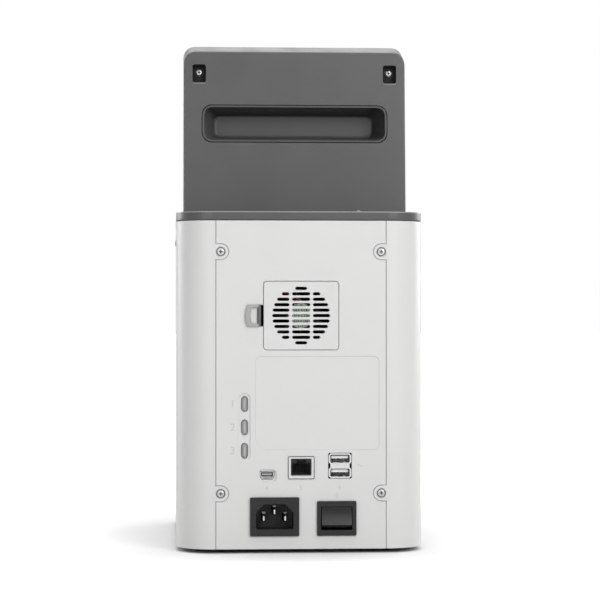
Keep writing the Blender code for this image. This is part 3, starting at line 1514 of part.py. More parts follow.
def make_chamber():
    bowl_top = DECK_TOP - DECK_PLATE - FIT
    outer = WELL_RADIUS + BOWL_WALL
    floor_bottom = BOWL_FLOOR_TOP - BOWL_FLOOR
    centre = (0, WELL_Y, 0)
    bowl = [
        (BOWL_FLANGE_RADIUS, bowl_top),
        (BOWL_FLANGE_RADIUS, bowl_top - BOWL_FLANGE_HEIGHT),
        (outer, bowl_top - BOWL_FLANGE_HEIGHT),
        (outer, floor_bottom),
        (BOWL_HOLE, floor_bottom),
        (BOWL_HOLE, BOWL_FLOOR_TOP),
        (WELL_RADIUS, BOWL_FLOOR_TOP),
        (WELL_RADIUS, bowl_top),
    ]
    turned("chamber_bowl", "black_plastic", bowl, centre, closed=True)
    seal_low = DECK_TOP + FIT
    seal = [
        (SEAL_OUTER, seal_low + SEAL_HEIGHT),
        (SEAL_OUTER, seal_low),
        (SEAL_INNER, seal_low),
        (SEAL_INNER, seal_low + SEAL_HEIGHT),
    ]
    turned("chamber_seal", "rubber", seal, centre, closed=True)
    flange_low = BOWL_FLOOR_TOP + HUB_RUNNING_GAP
    flange_high = flange_low + HUB_FLANGE_HEIGHT
    nose_top = flange_high + HUB_NOSE_HEIGHT
    shaft_low = flange_low - HUB_SHAFT_LENGTH
    hub = [
        (0, nose_top),
        (HUB_NOSE_RADIUS - HUB_NOSE_CHAMFER, nose_top),
        (HUB_NOSE_RADIUS, nose_top - HUB_NOSE_CHAMFER),
        (HUB_NOSE_RADIUS, flange_high),
        (HUB_FLANGE_RADIUS, flange_high),
        (HUB_FLANGE_RADIUS, flange_low),
        (HUB_SHAFT_RADIUS, flange_low),
        (HUB_SHAFT_RADIUS, shaft_low),
        (0, shaft_low),
    ]
    turned("spindle_hub", "steel", hub, centre, steps=PIN_STEPS * 2)
    disc_low = flange_high + FIT
    holes = [circle(HUB_NOSE_RADIUS + FIT, (0, WELL_Y), PIN_STEPS)]
    for index in range(CUVETTES):
        angle = index * math.tau / CUVETTES
        spot = (CUVETTE_CIRCLE * math.cos(angle), WELL_Y + CUVETTE_CIRCLE * math.sin(angle))
        holes.append(circle(CUVETTE_RADIUS, spot, 6))
    slab(
        "reagent_disc",
        "clear_disc",
        [circle(DISC_RADIUS, (0, WELL_Y))] + holes,
        disc_low,
        disc_low + DISC_THICKNESS,
        origin=(0, WELL_Y, disc_low),
    )
    boss_top = floor_bottom - FIT
    motor_top = boss_top - MOTOR_BOSS_HEIGHT
    bore_low = shaft_low - FIT
    bore = HUB_SHAFT_RADIUS + FIT
    motor = [
        (0, bore_low),
        (bore, bore_low),
        (bore, boss_top),
        (MOTOR_BOSS_RADIUS, boss_top),
        (MOTOR_BOSS_RADIUS, motor_top),
        (MOTOR_RADIUS, motor_top),
        (MOTOR_RADIUS, motor_top - MOTOR_HEIGHT),
        (0, motor_top - MOTOR_HEIGHT),
    ]
    turned("spindle_motor", "steel", motor, centre, steps=PIN_STEPS * 2)
    near = WELL_Y + outer + FIT
    half = OPTICS_WIDTH / 2
    optics = block(
        "optics_module",
        "black_plastic",
        (-half, near, OPTICS_LOW),
        (half, near + OPTICS_DEPTH, OPTICS_HIGH),
        OVERRUN,
    )
    far = near + OPTICS_DEPTH
    lamp_end = far + OPTICS_LAMP_LENGTH
    lamp = (0, (OPTICS_LOW + OPTICS_HIGH) / 2)
    fuse(
        optics,
        cylinder("optics_lamp", None, OPTICS_LAMP_RADIUS, far - OVERRUN, lamp_end, lamp, "Y", PIN_STEPS),
    )


def make_lid():
    rear = HINGE_Y - HINGE_RADIUS - LID_GAP
    middle = (0, rear - LID_DEPTH / 2)
    low = DECK_TOP + LID_GAP
    high = low + LID_HEIGHT
    hinge = (0, HINGE_Y, HINGE_Z)
    outline = rounded_rectangle(LID_WIDTH, LID_DEPTH, LID_RADIUS, middle, CORNER_STEPS // 2)
    lid = slab("chamber_lid", "white_shell", [outline], low, high, edge=LID_EDGE, origin=hinge)
    inner_width = LID_WIDTH - 2 * LID_WALL
    inner_depth = LID_DEPTH - 2 * LID_WALL
    inner_radius = LID_RADIUS - LID_WALL
    hollow = rounded_rectangle(inner_width, inner_depth, inner_radius, middle)
    pocket_top = low + LID_POCKET
    barrel = cylinder(
        "hinge_barrel", None, HINGE_RADIUS, -HINGE_HALF, HINGE_HALF, (HINGE_Y, HINGE_Z), "X"
    )
    web = block(
        "hinge_web",
        None,
        (-HINGE_HALF, HINGE_Y, HINGE_Z - HINGE_RADIUS / 2),
        (HINGE_HALF, rear - LID_EDGE - OVERRUN, HINGE_Z + HINGE_RADIUS / 2),
    )
    front = rear - LID_DEPTH
    tab_low = low + LID_TAB_LOW
    tab = block(
        "lid_tab",
        None,
        (-LID_TAB_WIDTH / 2, front - LID_TAB_DEPTH, tab_low),
        (LID_TAB_WIDTH / 2, front + OVERRUN, tab_low + LID_TAB_HEIGHT),
        BUTTON_EDGE,
    )
    fuse(lid, barrel, web, tab)
    reach = HINGE_HALF + OVERRUN
    carve(
        lid,
        slab("lid_hollow", None, [hollow], low - OVERRUN, pocket_top),
        cylinder("barrel_bore", None, HINGE_BORE, -reach, reach, (HINGE_Y, HINGE_Z), "X", PIN_STEPS),
    )
    liner = rounded_rectangle(inner_width - 2 * FIT, inner_depth - 2 * FIT, inner_radius, middle)
    liner_high = pocket_top - FIT
    slab("lid_liner", "black_plastic", [liner], liner_high - LINER_THICKNESS, liner_high, origin=hinge)
    pin_half = HINGE_HALF + LUG_WIDTH
    cylinder(
        "lid_hinge_pin",
        "steel",
        HINGE_PIN_RADIUS,
        -pin_half,
        pin_half,
        (HINGE_Y, HINGE_Z),
        "X",
        PIN_STEPS,
    )


def head_profile():
    """Side view of the head as (Y, Z): rear base, rear top, front top and front base."""
    rise = HEAD_REAR_TOP - HEAD_BASE
    rear_top_y = HEAD_REAR - rise * math.tan(HEAD_LEAN)
    front_top_y = rear_top_y - HEAD_TOP_DEPTH * math.cos(SCREEN_TILT)
    front_top_z = HEAD_REAR_TOP + HEAD_TOP_DEPTH * math.sin(SCREEN_TILT)
    front_base_y = front_top_y - (front_top_z - HEAD_BASE) * math.tan(SCREEN_TILT)
    return (
        Vector((HEAD_REAR, HEAD_BASE)),
        Vector((rear_top_y, HEAD_REAR_TOP)),
        Vector((front_top_y, front_top_z)),
        Vector((front_base_y, HEAD_BASE)),
    )


def moved_in(profile, distances):
    """Profile whose sides are moved inwards by their distances, or outwards by negative ones."""
    lines = []
    for index, distance in enumerate(distances):
        start = profile[index]
        along = (profile[(index + 1) % 4] - start).normalized()
        inward = Vector((-along.y, along.x))
        lines.append((start + inward * distance, along))
    corners = []
    for index in range(4):
        start, along = lines[index - 1]
        other_start, other_along = lines[index]
        gap = other_start - start
        cross = along.x * other_along.y - along.y * other_along.x
        reach = (gap.x * other_along.y - gap.y * other_along.x) / cross
        corners.append(start + along * reach)
    return corners


def wedge(name, finish, profile, half_width, corner, edge=0):
    """Block across X with a four-cornered side view and rounded upper side corners."""
    form = bmesh.new()
    bmesh.ops.create_cube(form, size=1)
    order = {(1, -1): 0, (1, 1): 1, (-1, 1): 2, (-1, -1): 3}
    for point in form.verts:
        key = (int(math.copysign(1, point.co.y)), int(math.copysign(1, point.co.z)))
        spot = profile[order[key]]
        point.co = (math.copysign(half_width, point.co.x), spot.x, spot.y)
    top_level = min(profile[1].y, profile[2].y) - WELD
    side_tops = [
        e
        for e in form.edges
        if e.verts[0].co.x == e.verts[1].co.x and all(v.co.z > top_level for v in e.verts)
    ]
    bevel_edges(form, side_tops, corner, CORNER_STEPS // 2)
    if edge:
        sharp = [
            e
            for e in form.edges
            if e.calc_face_angle() > SMOOTH_ANGLE and any(v.co.z > HEAD_BASE + OVERRUN for v in e.verts)
        ]
        bevel_edges(form, sharp, edge, 2)
    mesh = bpy.data.meshes.new(name)
    form.to_mesh(mesh)
    form.free()
    return place(name, mesh, finish)


def make_head_shell(rear_face):
    profile = head_profile()
    half = HEAD_WIDTH / 2
    shell = wedge("head_shell", "grey_shell", profile, half, HEAD_CORNER, HEAD_EDGE)
    inner = moved_in(profile, (HEAD_WALL, HEAD_WALL, -OVERRUN * 2, -OVERRUN * 2))
    carve(shell, wedge("head_hollow", None, inner, half - HEAD_WALL, HEAD_CORNER - HEAD_WALL))
    body_half = POCKET_WIDTH / 2 + POCKET_WALL
    body_rise = POCKET_HEIGHT / 2 + POCKET_WALL
    floor = -POCKET_DEPTH
    well_floor = floor - POCKET_WELL_DEPTH
    for side in (-1, 1):
        x = side * POCKET_X
        body = block(
            "pocket_body",
            None,
            (x - body_half, POCKET_RISE - body_rise, floor - POCKET_FLOOR),
            (x + body_half, POCKET_RISE + body_rise, -HEAD_WALL / 2),
            carrier=rear_face,
        )
        opening = rounded_rectangle(POCKET_WIDTH, POCKET_HEIGHT, POCKET_RADIUS, (x, POCKET_RISE))
        screw_at = (x, POCKET_SCREW_RISE)
        bore = HEAD_SCREW_SHANK + FIT
        bore_low = floor - POCKET_FLOOR - OVERRUN
        fuse(shell, body)
        carve(
            shell,
            slab("pocket", None, [opening], floor, OVERRUN, carrier=rear_face),
            cylinder(
                "pocket_well",
                None,
                POCKET_WELL_RADIUS,
                well_floor,
                floor + OVERRUN,
                screw_at,
                steps=PIN_STEPS,
                carrier=rear_face,
            ),
            cylinder(
                "pocket_bore", None, bore, bore_low, floor, screw_at, steps=PIN_STEPS, carrier=rear_face
            ),
        )
        profile = screw_profile(
            HEAD_SCREW_RADIUS, HEAD_SCREW_HEIGHT, HEAD_SCREW_SHANK, HEAD_SCREW_LENGTH
        )
        name = "head_screw_right" if side < 0 else "head_screw_left"
        centre = (x, POCKET_SCREW_RISE, well_floor + FIT)
        screw = turned(name, "steel", profile, centre, steps=PIN_STEPS, carrier=rear_face)
        cut_cross(screw, HEAD_SCREW_HEIGHT)
    grip = rounded_rectangle(
        GRIP_WIDTH + 2 * FIT, GRIP_HEIGHT + 2 * FIT, GRIP_RADIUS + FIT, (0, GRIP_RISE), CORNER_STEPS // 2
    )
    carve(shell, slab("grip_hole", None, [grip], -HEAD_WALL * 2, OVERRUN, carrier=rear_face))


def make_grip_cup(rear_face):
    bottom = GRIP_RISE - GRIP_HEIGHT / 2
    top = GRIP_RISE + GRIP_HEIGHT / 2
    drafts = Vector((-2 * GRIP_SIDE_DRAFT, GRIP_LOWER_DRAFT, -GRIP_UPPER_DRAFT))
    outer_near = Vector((GRIP_WIDTH, bottom, top))
    depth = GRIP_DEPTH + GRIP_RIM
    cup = tapered(
        "handle_cup",
        "dark_grip",
        outer_near,
        outer_near + drafts,
        -depth,
        0,
        GRIP_RADIUS,
        carrier=rear_face,
    )
    inner_near = outer_near + Vector((-2 * GRIP_RIM, GRIP_RIM, -GRIP_RIM))
    overrun_share = OVERRUN / GRIP_DEPTH
    hollow = tapered(
        "cup_hollow",
        None,
        inner_near - drafts * overrun_share,
        inner_near + drafts,
        -GRIP_DEPTH,
        OVERRUN,
        GRIP_RADIUS - GRIP_RIM,
        GRIP_INNER_EDGE,
        carrier=rear_face,
    )
    carve(cup, hollow)


def make_screen(screen_face, length):
    width = HEAD_WIDTH - 2 * (HEAD_WALL + FIT)
    top = length / 2 - HEAD_WALL - FIT
    bottom = -length / 2 + BEZEL_BOTTOM
    back_bottom = bottom + BEZEL_BACK_RAISE
    corner = HEAD_CORNER - HEAD_WALL - FIT
    middle = (0, (top + bottom) / 2)
    plate = rounded_rectangle(
        width, top - bottom, corner, middle, CORNER_STEPS // 2, lower=BEZEL_LOWER_RADIUS
    )
    bezel = slab("display_bezel", "black_plastic", [plate], -BEZEL_PLATE, 0, carrier=screen_face)
    back_middle = (0, (top + back_bottom) / 2)
    back_width = width - 2 * BEZEL_BORDER
    back = rounded_rectangle(back_width, top - back_bottom, corner, back_middle)
    fuse(
        bezel,
        slab("bezel_back", None, [back], -BEZEL_DEPTH, -BEZEL_PLATE + OVERLAP, carrier=screen_face),
    )
    glass_width = width - 2 * BEZEL_BORDER
    glass_height = top - bottom - 2 * BEZEL_BORDER
    recess = rounded_rectangle(
        glass_width + 2 * FIT, glass_height + 2 * FIT, corner - BEZEL_LOWER_RADIUS, middle
    )
    recess_low = -GLASS_SINK - GLASS_THICKNESS - FIT
    screen_middle = (0, middle[1] + DISPLAY_RAISE)
    opening = rounded_rectangle(
        DISPLAY_WIDTH + 2 * FIT, DISPLAY_HEIGHT + 2 * FIT, FIT, screen_middle, steps=1
    )
    carve(
        bezel,
        slab("glass_recess", None, [recess], recess_low, OVERRUN, carrier=screen_face),
        slab("display_opening", None, [opening], -BEZEL_DEPTH - OVERRUN, OVERRUN, carrier=screen_face),
    )
    glass = rounded_rectangle(glass_width, glass_height, corner - BEZEL_LOWER_RADIUS, middle)
    glass_low = -GLASS_SINK - GLASS_THICKNESS
    slab("touch_glass", "glass", [glass], glass_low, -GLASS_SINK, carrier=screen_face)
    low = glass_low - FIT - DISPLAY_DEPTH
    half = DISPLAY_WIDTH / 2
    half_height = DISPLAY_HEIGHT / 2
    block(
        "display_panel",
        "black_plastic",
        (-half, screen_middle[1] - half_height, low),
        (half, screen_middle[1] + half_height, glass_low - FIT),
        carrier=screen_face,
    )


def make_head():
    rear_base, rear_top, front_top, front_base = head_profile()
    lean = (rear_top - rear_base).normalized()
    rear_face = tilted_empty(
        "rear_face",
        Vector((0, rear_base.x, rear_base.y)),
        Vector((-1, 0, 0)),
        Vector((0, lean.x, lean.y)),
        Vector((0, lean.y, -lean.x)),
    )
    slope = (front_top - front_base).normalized()
    middle = (front_top + front_base) / 2
    screen_face = tilted_empty(
        "screen_face",
        Vector((0, middle.x, middle.y)),
        Vector((1, 0, 0)),
        Vector((0, slope.x, slope.y)),
        Vector((0, -slope.y, slope.x)),
    )
    bpy.context.view_layer.update()
    make_head_shell(rear_face)
    make_grip_cup(rear_face)
    make_screen(screen_face, (front_top - front_base).length)


def make_boards():
    low = BOARD_TOP - BOARD_THICKNESS
    board = block(
        "main_board",
        "board_green",
        (-BOARD_HALF_WIDTH, BOARD_FRONT, low),
        (BOARD_HALF_WIDTH, BOARD_REAR, BOARD_TOP),
    )
    for x, setback, size in CHIP_PLACES:
        y = BOARD_REAR - setback
        half = size / 2
        chip = block(
            "chip",
            None,
            (x - half, y - half, BOARD_TOP - OVERLAP),
            (x + half, y + half, BOARD_TOP + CHIP_HEIGHT),
        )
        fuse(board, chip)
    flange_back = PANEL_INNER - FIT - BUTTON_FLANGE_THICKNESS
    switch_high = flange_back - BUTTON_TRAVEL - FIT
    half = BUTTON_BOARD_WIDTH / 2
    board_high = switch_high - KEY_SWITCH_HEIGHT
    board_low = board_high - BUTTON_BOARD_THICKNESS
    upright = block(
        "button_board",
        "board_green",
        (BUTTON_X - half, board_low, BOARD_TOP + FIT),
        (BUTTON_X + half, board_high, BUTTON_BOARD_TOP),
    )
    half = KEY_SWITCH_WIDTH / 2
    for z in button_heights().values():
        key = block(
            "key_switch",
            None,
            (BUTTON_X - half, board_high - OVERLAP, z - half),
            (BUTTON_X + half, switch_high, z + half),
        )
        fuse(upright, key)


def make_power_supply():
    low = TRAY_TOP + FIT
    high = low + SUPPLY_HEIGHT
    half = SUPPLY_HALF_WIDTH
    rear = REAR - SUPPLY_SETBACK
    front = rear - SUPPLY_LENGTH
    supply = block("power_supply", "steel", (-half, front, low), (half, rear, high), SUPPLY_EDGE)
    middle = (front + rear) / 2
    start = middle - (VENT_ROWS - 1) * VENT_PITCH / 2
    for row in range(VENT_ROWS):
        vent = pill(VENT_LENGTH, VENT_WIDTH, (0, start + row * VENT_PITCH), 3)
        carve(supply, slab("vent", None, [vent], high - VENT_DEPTH, high + OVERRUN))


clear_scene()
parts = make_collection("biochemistry_analyzer")
tools = make_collection("cutting_tools")

make_base_tray()
make_feet()
make_side_cover("side_cover_left", -1)
make_side_button(make_side_cover("side_cover_right", 1))
make_rear_panel()
make_rear_screws()
make_rear_buttons()
make_fan_cover()
make_cover_catch()
make_fan_mount()
make_fan_frame()
make_fan_rotor()
make_mini_usb()
make_network_port()
make_twin_usb()
make_inlet()
make_switch()
make_front_panel()
make_start_button()
make_printer_door()
make_printer_bay()
make_deck_frame()
make_chamber()
make_lid()
make_head()
make_boards()
make_power_supply()
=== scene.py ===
import math

import bmesh
import bpy
from mathutils import Matrix, Vector


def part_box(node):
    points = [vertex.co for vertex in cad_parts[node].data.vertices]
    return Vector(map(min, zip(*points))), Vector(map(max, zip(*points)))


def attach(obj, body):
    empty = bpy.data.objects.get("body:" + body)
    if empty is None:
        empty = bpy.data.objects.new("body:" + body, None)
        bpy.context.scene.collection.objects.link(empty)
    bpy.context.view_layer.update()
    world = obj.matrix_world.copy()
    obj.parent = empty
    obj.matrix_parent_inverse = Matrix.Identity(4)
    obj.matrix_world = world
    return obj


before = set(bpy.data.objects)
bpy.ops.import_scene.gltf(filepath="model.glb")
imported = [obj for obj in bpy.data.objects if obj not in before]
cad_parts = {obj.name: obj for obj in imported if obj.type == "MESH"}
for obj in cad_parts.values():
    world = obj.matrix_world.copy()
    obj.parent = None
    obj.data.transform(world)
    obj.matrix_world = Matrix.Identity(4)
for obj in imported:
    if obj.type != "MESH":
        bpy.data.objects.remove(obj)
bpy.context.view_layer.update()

# Looks of a countertop analyzer, seen from behind. Points are in metres, as in the frame. The sizes of the
# small details, and the levels in their sections, are in mm.

MM = 0.001
SMOOTH_ANGLE = math.radians(35)

# Camera, fitted to the photograph's rear panel, screws, ports and silhouette
CAMERA_PLACE = (0.0842, 1.5125, 0.1590)
CAMERA_YAW = math.radians(-3.41)
CAMERA_PITCH = math.radians(0.23)
CAMERA_LENS = 129.43
CAMERA_SENSOR = 36
CAMERA_RANGE = (0.01, 50)

# Surfaces that the details sit on
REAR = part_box("rear_panel")[1].y
DECK_THICKNESS = 5.8 * MM
DECK_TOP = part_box("deck_frame")[0].z + DECK_THICKNESS
HEAD_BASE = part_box("head_shell")[0].z
HEAD_REAR = 43.1 * MM
HEAD_LEAN = math.radians(3.6)
COVER_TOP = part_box("side_cover_left")[1].z
CORNER_RADIUS = 25.2 * MM
CORNER_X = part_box("side_cover_left")[1].x - CORNER_RADIUS
CORNER_Y = REAR - CORNER_RADIUS

# Outlines are drawn in two directions, with the level above the surface as the third
REAR_PLANE = Matrix(((1, 0, 0, 0), (0, 0, 1, 0), (0, 1, 0, 0), (0, 0, 0, 1)))
HEAD_PLANE = Matrix(
    (
        (1, 0, 0, 0),
        (0, -math.sin(HEAD_LEAN), math.cos(HEAD_LEAN), HEAD_REAR),
        (0, math.cos(HEAD_LEAN), math.sin(HEAD_LEAN), HEAD_BASE),
        (0, 0, 0, 1),
    )
)


def linear(grey):
    """Linear value of an sRGB grey from 0 to 255."""
    share = grey / 255
    return share / 12.92 if share <= 0.04045 else ((share + 0.055) / 1.055) ** 2.4


def shade(red, green=None, blue=None):
    if green is None:
        green, blue = red, red
    return (linear(red), linear(green), linear(blue), 1)


def cloud(tree, scale, detail=2.0, stretch=None):
    """Noise over the object's own coordinates, as a factor from 0 to 1."""
    place = tree.nodes.new("ShaderNodeTexCoord")
    noise = tree.nodes.new("ShaderNodeTexNoise")
    noise.inputs["Scale"].default_value = scale
    noise.inputs["Detail"].default_value = detail
    source = place.outputs["Object"]
    if stretch:
        mapping = tree.nodes.new("ShaderNodeMapping")
        mapping.inputs["Scale"].default_value = stretch
        tree.links.new(source, mapping.inputs["Vector"])
        source = mapping.outputs["Vector"]
    tree.links.new(source, noise.inputs["Vector"])
    return noise.outputs["Fac"]


def ramp(tree, factor, low, high, start=0.3, end=0.7):
    """Colour that goes from low to high as the factor goes from start to end."""
    scale = tree.nodes.new("ShaderNodeValToRGB")
    scale.color_ramp.elements[0].position = start
    scale.color_ramp.elements[0].color = low
    scale.color_ramp.elements[1].position = end
    scale.color_ramp.elements[1].color = high
    tree.links.new(factor, scale.inputs["Fac"])
    return scale.outputs["Color"]


def math_node(tree, operation, *values):
    node = tree.nodes.new("ShaderNodeMath")
    node.operation = operation
    for index, value in enumerate(values):
        if isinstance(value, (int, float)):
            node.inputs[index].default_value = value
        else:
            tree.links.new(value, node.inputs[index])
    return node.outputs[0]


def smooth_step(tree, value, from_low, from_high, to_low=0.0, to_high=1.0):
    node = tree.nodes.new("ShaderNodeMapRange")
    node.interpolation_type = "SMOOTHSTEP"
    node.inputs["From Min"].default_value = from_low
    node.inputs["From Max"].default_value = from_high
    node.inputs["To Min"].default_value = to_low
    node.inputs["To Max"].default_value = to_high
    tree.links.new(value, node.inputs["Value"])
    return node.outputs["Result"]


def crossfade(tree, share, first, second):
    """The first level where the share is 0, and the second where it is 1."""
    rest = math_node(tree, "SUBTRACT", 1.0, share)
    return math_node(
        tree, "ADD",
        math_node(tree, "MULTIPLY", first, rest),
        math_node(tree, "MULTIPLY", second, share),
    )


def beyond(tree, value, limit):
    """How far a coordinate lies past the limit on either side, and 0 between the two."""
    reach = math_node(tree, "SUBTRACT", math_node(tree, "ABSOLUTE", value), limit)
    return math_node(tree, "MAXIMUM", reach, 0.0)


def diagonal(tree, across, along):
    """Length of a line that goes this far across and along."""
    squares = math_node(
        tree, "ADD",
        math_node(tree, "MULTIPLY", across, across),
        math_node(tree, "MULTIPLY", along, along),
    )
    return math_node(tree, "SQRT", squares)


def seen_rays(tree):
    """1 for rays that the camera sees, straight or through a clear piece, and 0 for all others."""
    path = tree.nodes.new("ShaderNodeLightPath")
    return math_node(tree, "MAXIMUM", path.outputs["Is Camera Ray"], path.outputs["Is Transmission Ray"])


def plain_grey(value):
    """Grey of a linear value, for a ramp that drives a number."""
    return (value, value, value, 1)


def scaled(colour, share):
    return (*[channel * share for channel in colour[:3]], 1)


def add_bump(tree, shader, factor, distance, strength):
    bump = tree.nodes.new("ShaderNodeBump")
    bump.inputs["Distance"].default_value = distance
    bump.inputs["Strength"].default_value = strength
    tree.links.new(factor, bump.inputs["Height"])
    tree.links.new(bump.outputs["Normal"], shader.inputs["Normal"])


def new_finish(name, roughness, metallic=0.0, specular=0.5):
    finish = bpy.data.materials.new(name)
    finish.use_nodes = True
    shader = finish.node_tree.nodes["Principled BSDF"]
    shader.inputs["Roughness"].default_value = roughness
    shader.inputs["Metallic"].default_value = metallic
    shader.inputs["Specular IOR Level"].default_value = specular
    return finish, finish.node_tree, shader


# Noise scales per metre that all plastics share, and how far the roughness strays to each side
FLOW_SCALE = 28
GLOSS_SCALE = 60
ROUGHNESS_SPREAD = 0.04
SPECKLE_SHARE = 0.7


def add_gloss(tree, shader, factor, roughness):
    """Roughness that strays a little to each side of its value."""
    low = plain_grey(roughness - ROUGHNESS_SPREAD)
    high = plain_grey(roughness + ROUGHNESS_SPREAD)
    tree.links.new(ramp(tree, factor, low, high), shader.inputs["Roughness"])


def plastic(name, colour, roughness, grain=1700, depth=0.00004, spread=0.03, specular=0.5):
    """Moulded plastic with fine spark-eroded grain, faint flow marks and uneven gloss."""
    finish, tree, shader = new_finish(name, roughness, specular=specular)
    flow = cloud(tree, FLOW_SCALE, 3.0)
    speckle = cloud(tree, grain * SPECKLE_SHARE, 1.0)
    mixed = math_node(tree, "MULTIPLY", math_node(tree, "ADD", flow, speckle), 0.5)
    low = scaled(colour, 1 - spread)
    high = scaled(colour, 1 + spread)
    tree.links.new(ramp(tree, mixed, low, high), shader.inputs["Base Color"])
    add_gloss(tree, shader, cloud(tree, GLOSS_SCALE, 2.0), roughness)
    add_bump(tree, shader, cloud(tree, grain, 1.5), depth, 0.5)
    return finish


# Drawn lines of plated metal: noise per metre, its stretch along Y, and the depth of a line in metres
LINE_SCALE = 500
LINE_STRETCH = (1, 0.1, 1)
LINE_DEPTH = 0.000004
POLISH_SCALE = 200


def metal(name, colour, roughness, metallic=1.0, spread=0.05):
    """Plated metal with faint drawn lines along Y and uneven polish."""
    finish, tree, shader = new_finish(name, roughness, metallic)
    lines = cloud(tree, LINE_SCALE, 1.0, LINE_STRETCH)
    tree.links.new(ramp(tree, lines, scaled(colour, 1 - spread), colour), shader.inputs["Base Color"])
    add_gloss(tree, shader, cloud(tree, POLISH_SCALE), roughness)
    add_bump(tree, shader, lines, LINE_DEPTH, 0.15)
    return finish


def scale_colour(tree, shader, factor):
    """Multiply the finish's base colour by a factor."""
    source = shader.inputs["Base Color"].links[0].from_socket
    mix = tree.nodes.new("ShaderNodeVectorMath")
    mix.operation = "SCALE"
    tree.links.new(source, mix.inputs[0])
    tree.links.new(factor, mix.inputs["Scale"])
    tree.links.new(mix.outputs[0], shader.inputs["Base Color"])


# Share of the grip's colour on its ceiling and its end, and of the rocker's at its foot and its top: painted
# shade on the grip, painted light at the rocker's foot, painted shade at its top
CEILING_SHADE_SHARE = 0.35
END_SHADE_SHARE = 0.45
ROCKER_FOOT_LIGHT_SHARE = 2.1
ROCKER_TOP_SHADE_SHARE = 0.5


def grip_plastic():
    """Plastic of the grip, with painted shade that darkens its ceiling and one end."""
    finish = plastic("Grip plastic", shade(76), 0.40, depth=0.00005, spread=0.05)
    tree = finish.node_tree
    face = tree.nodes.new("ShaderNodeNewGeometry")
    split = tree.nodes.new("ShaderNodeSeparateXYZ")
    tree.links.new(face.outputs["Normal"], split.inputs[0])
    # Painted shade: the colour darkens on faces turned down and on faces turned towards +X
    ceiling = smooth_step(tree, split.outputs[2], -0.9, -0.3, CEILING_SHADE_SHARE, 1.0)
    end = smooth_step(tree, split.outputs[0], 0.3, 0.9, 1.0, END_SHADE_SHARE)
    scale_colour(tree, tree.nodes["Principled BSDF"], math_node(tree, "MULTIPLY", ceiling, end))
    return finish


def rocker_plastic():
    """Black plastic of the rocker, dull, with painted light at its foot and painted shade towards its upper
    end.
    """
    finish = plastic("Rocker plastic", shade(40), 0.36, spread=0.06, specular=0.4)
    tree = finish.node_tree
    place = tree.nodes.new("ShaderNodeTexCoord")
    split = tree.nodes.new("ShaderNodeSeparateXYZ")
    tree.links.new(place.outputs["Generated"], split.inputs[0])
    # Painted light and shade: the rocker's colour brightens at its foot and darkens at its top
    rise = smooth_step(tree, split.outputs[2], 0.12, 0.95, ROCKER_FOOT_LIGHT_SHARE, ROCKER_TOP_SHADE_SHARE)
    scale_colour(tree, tree.nodes["Principled BSDF"], rise)
    return finish


def dark_glass():
    """Black-backed cover glass with a faint film of finger marks."""
    finish, tree, shader = new_finish("Cover glass", 0.05)
    marks = ramp(tree, cloud(tree, 35, 4.0), shade(14, 15, 18), shade(19, 20, 23))
    tree.links.new(marks, shader.inputs["Base Color"])
    rough = ramp(tree, cloud(tree, 70, 5.0), plain_grey(0.03), plain_grey(0.14), 0.45, 0.75)
    tree.links.new(rough, shader.inputs["Roughness"])
    shader.inputs["Specular IOR Level"].default_value = 0.14
    shader.inputs["Coat Weight"].default_value = 0.04
    shader.inputs["Coat Roughness"].default_value = 0.03
    return finish


def clear_plastic():
    finish, tree, shader = new_finish("Clear disc plastic", 0.12)
    haze = cloud(tree, 120, 3.0)
    colour = ramp(tree, haze, shade(196, 208, 214), shade(222, 230, 234))
    tree.links.new(colour, shader.inputs["Base Color"])
    tree.links.new(ramp(tree, haze, plain_grey(0.08), plain_grey(0.2)), shader.inputs["Roughness"])
    shader.inputs["Transmission Weight"].default_value = 0.55
    return finish


def board():
    """Green solder mask with darker tracks below it."""
    finish, tree, shader = new_finish("Solder mask", 0.4)
    cells = tree.nodes.new("ShaderNodeTexBrick")
    cells.inputs["Scale"].default_value = 160
    cells.inputs["Color1"].default_value = shade(28, 96, 62)
    cells.inputs["Color2"].default_value = shade(24, 86, 54)
    cells.inputs["Mortar"].default_value = shade(16, 66, 42)
    place = tree.nodes.new("ShaderNodeTexCoord")
    tree.links.new(place.outputs["Object"], cells.inputs["Vector"])
    tree.links.new(cells.outputs["Color"], shader.inputs["Base Color"])
    add_bump(tree, shader, cloud(tree, 1500), 0.00003, 0.4)
    return finish


FINISHES = {
    "white_shell": plastic("White shell plastic", shade(216, 216, 215), 0.38, spread=0.012),
    "grey_shell": plastic("Grey shell plastic", shade(86), 0.36, depth=0.00005, spread=0.05),
    "dark_grip": grip_plastic(),
    "catch_grey": plastic("Catch plastic", shade(166, 166, 164), 0.36, spread=0.02),
    "button_grey": plastic("Button plastic", shade(140), 0.42, spread=0.03),
    "black_plastic": plastic("Black plastic", shade(36), 0.42, spread=0.08, specular=0.4),
    "rubber": plastic("Black rubber", shade(20), 0.8, 1200, 0.00006, 0.12, 0.2),
    "glass": dark_glass(),
    "steel": metal("Plated steel", shade(212), 0.28),
    "clear_disc": clear_plastic(),
    "board_green": board(),
    "paper": plastic("Thermal paper", shade(236, 236, 232), 0.75, grain=2500, spread=0.03),
    "port_white": plastic("Connector plastic", shade(238, 238, 236), 0.4, spread=0.02),
}
PAD_GREY = plastic("Button pad", shade(172, 172, 170), 0.4, spread=0.03)
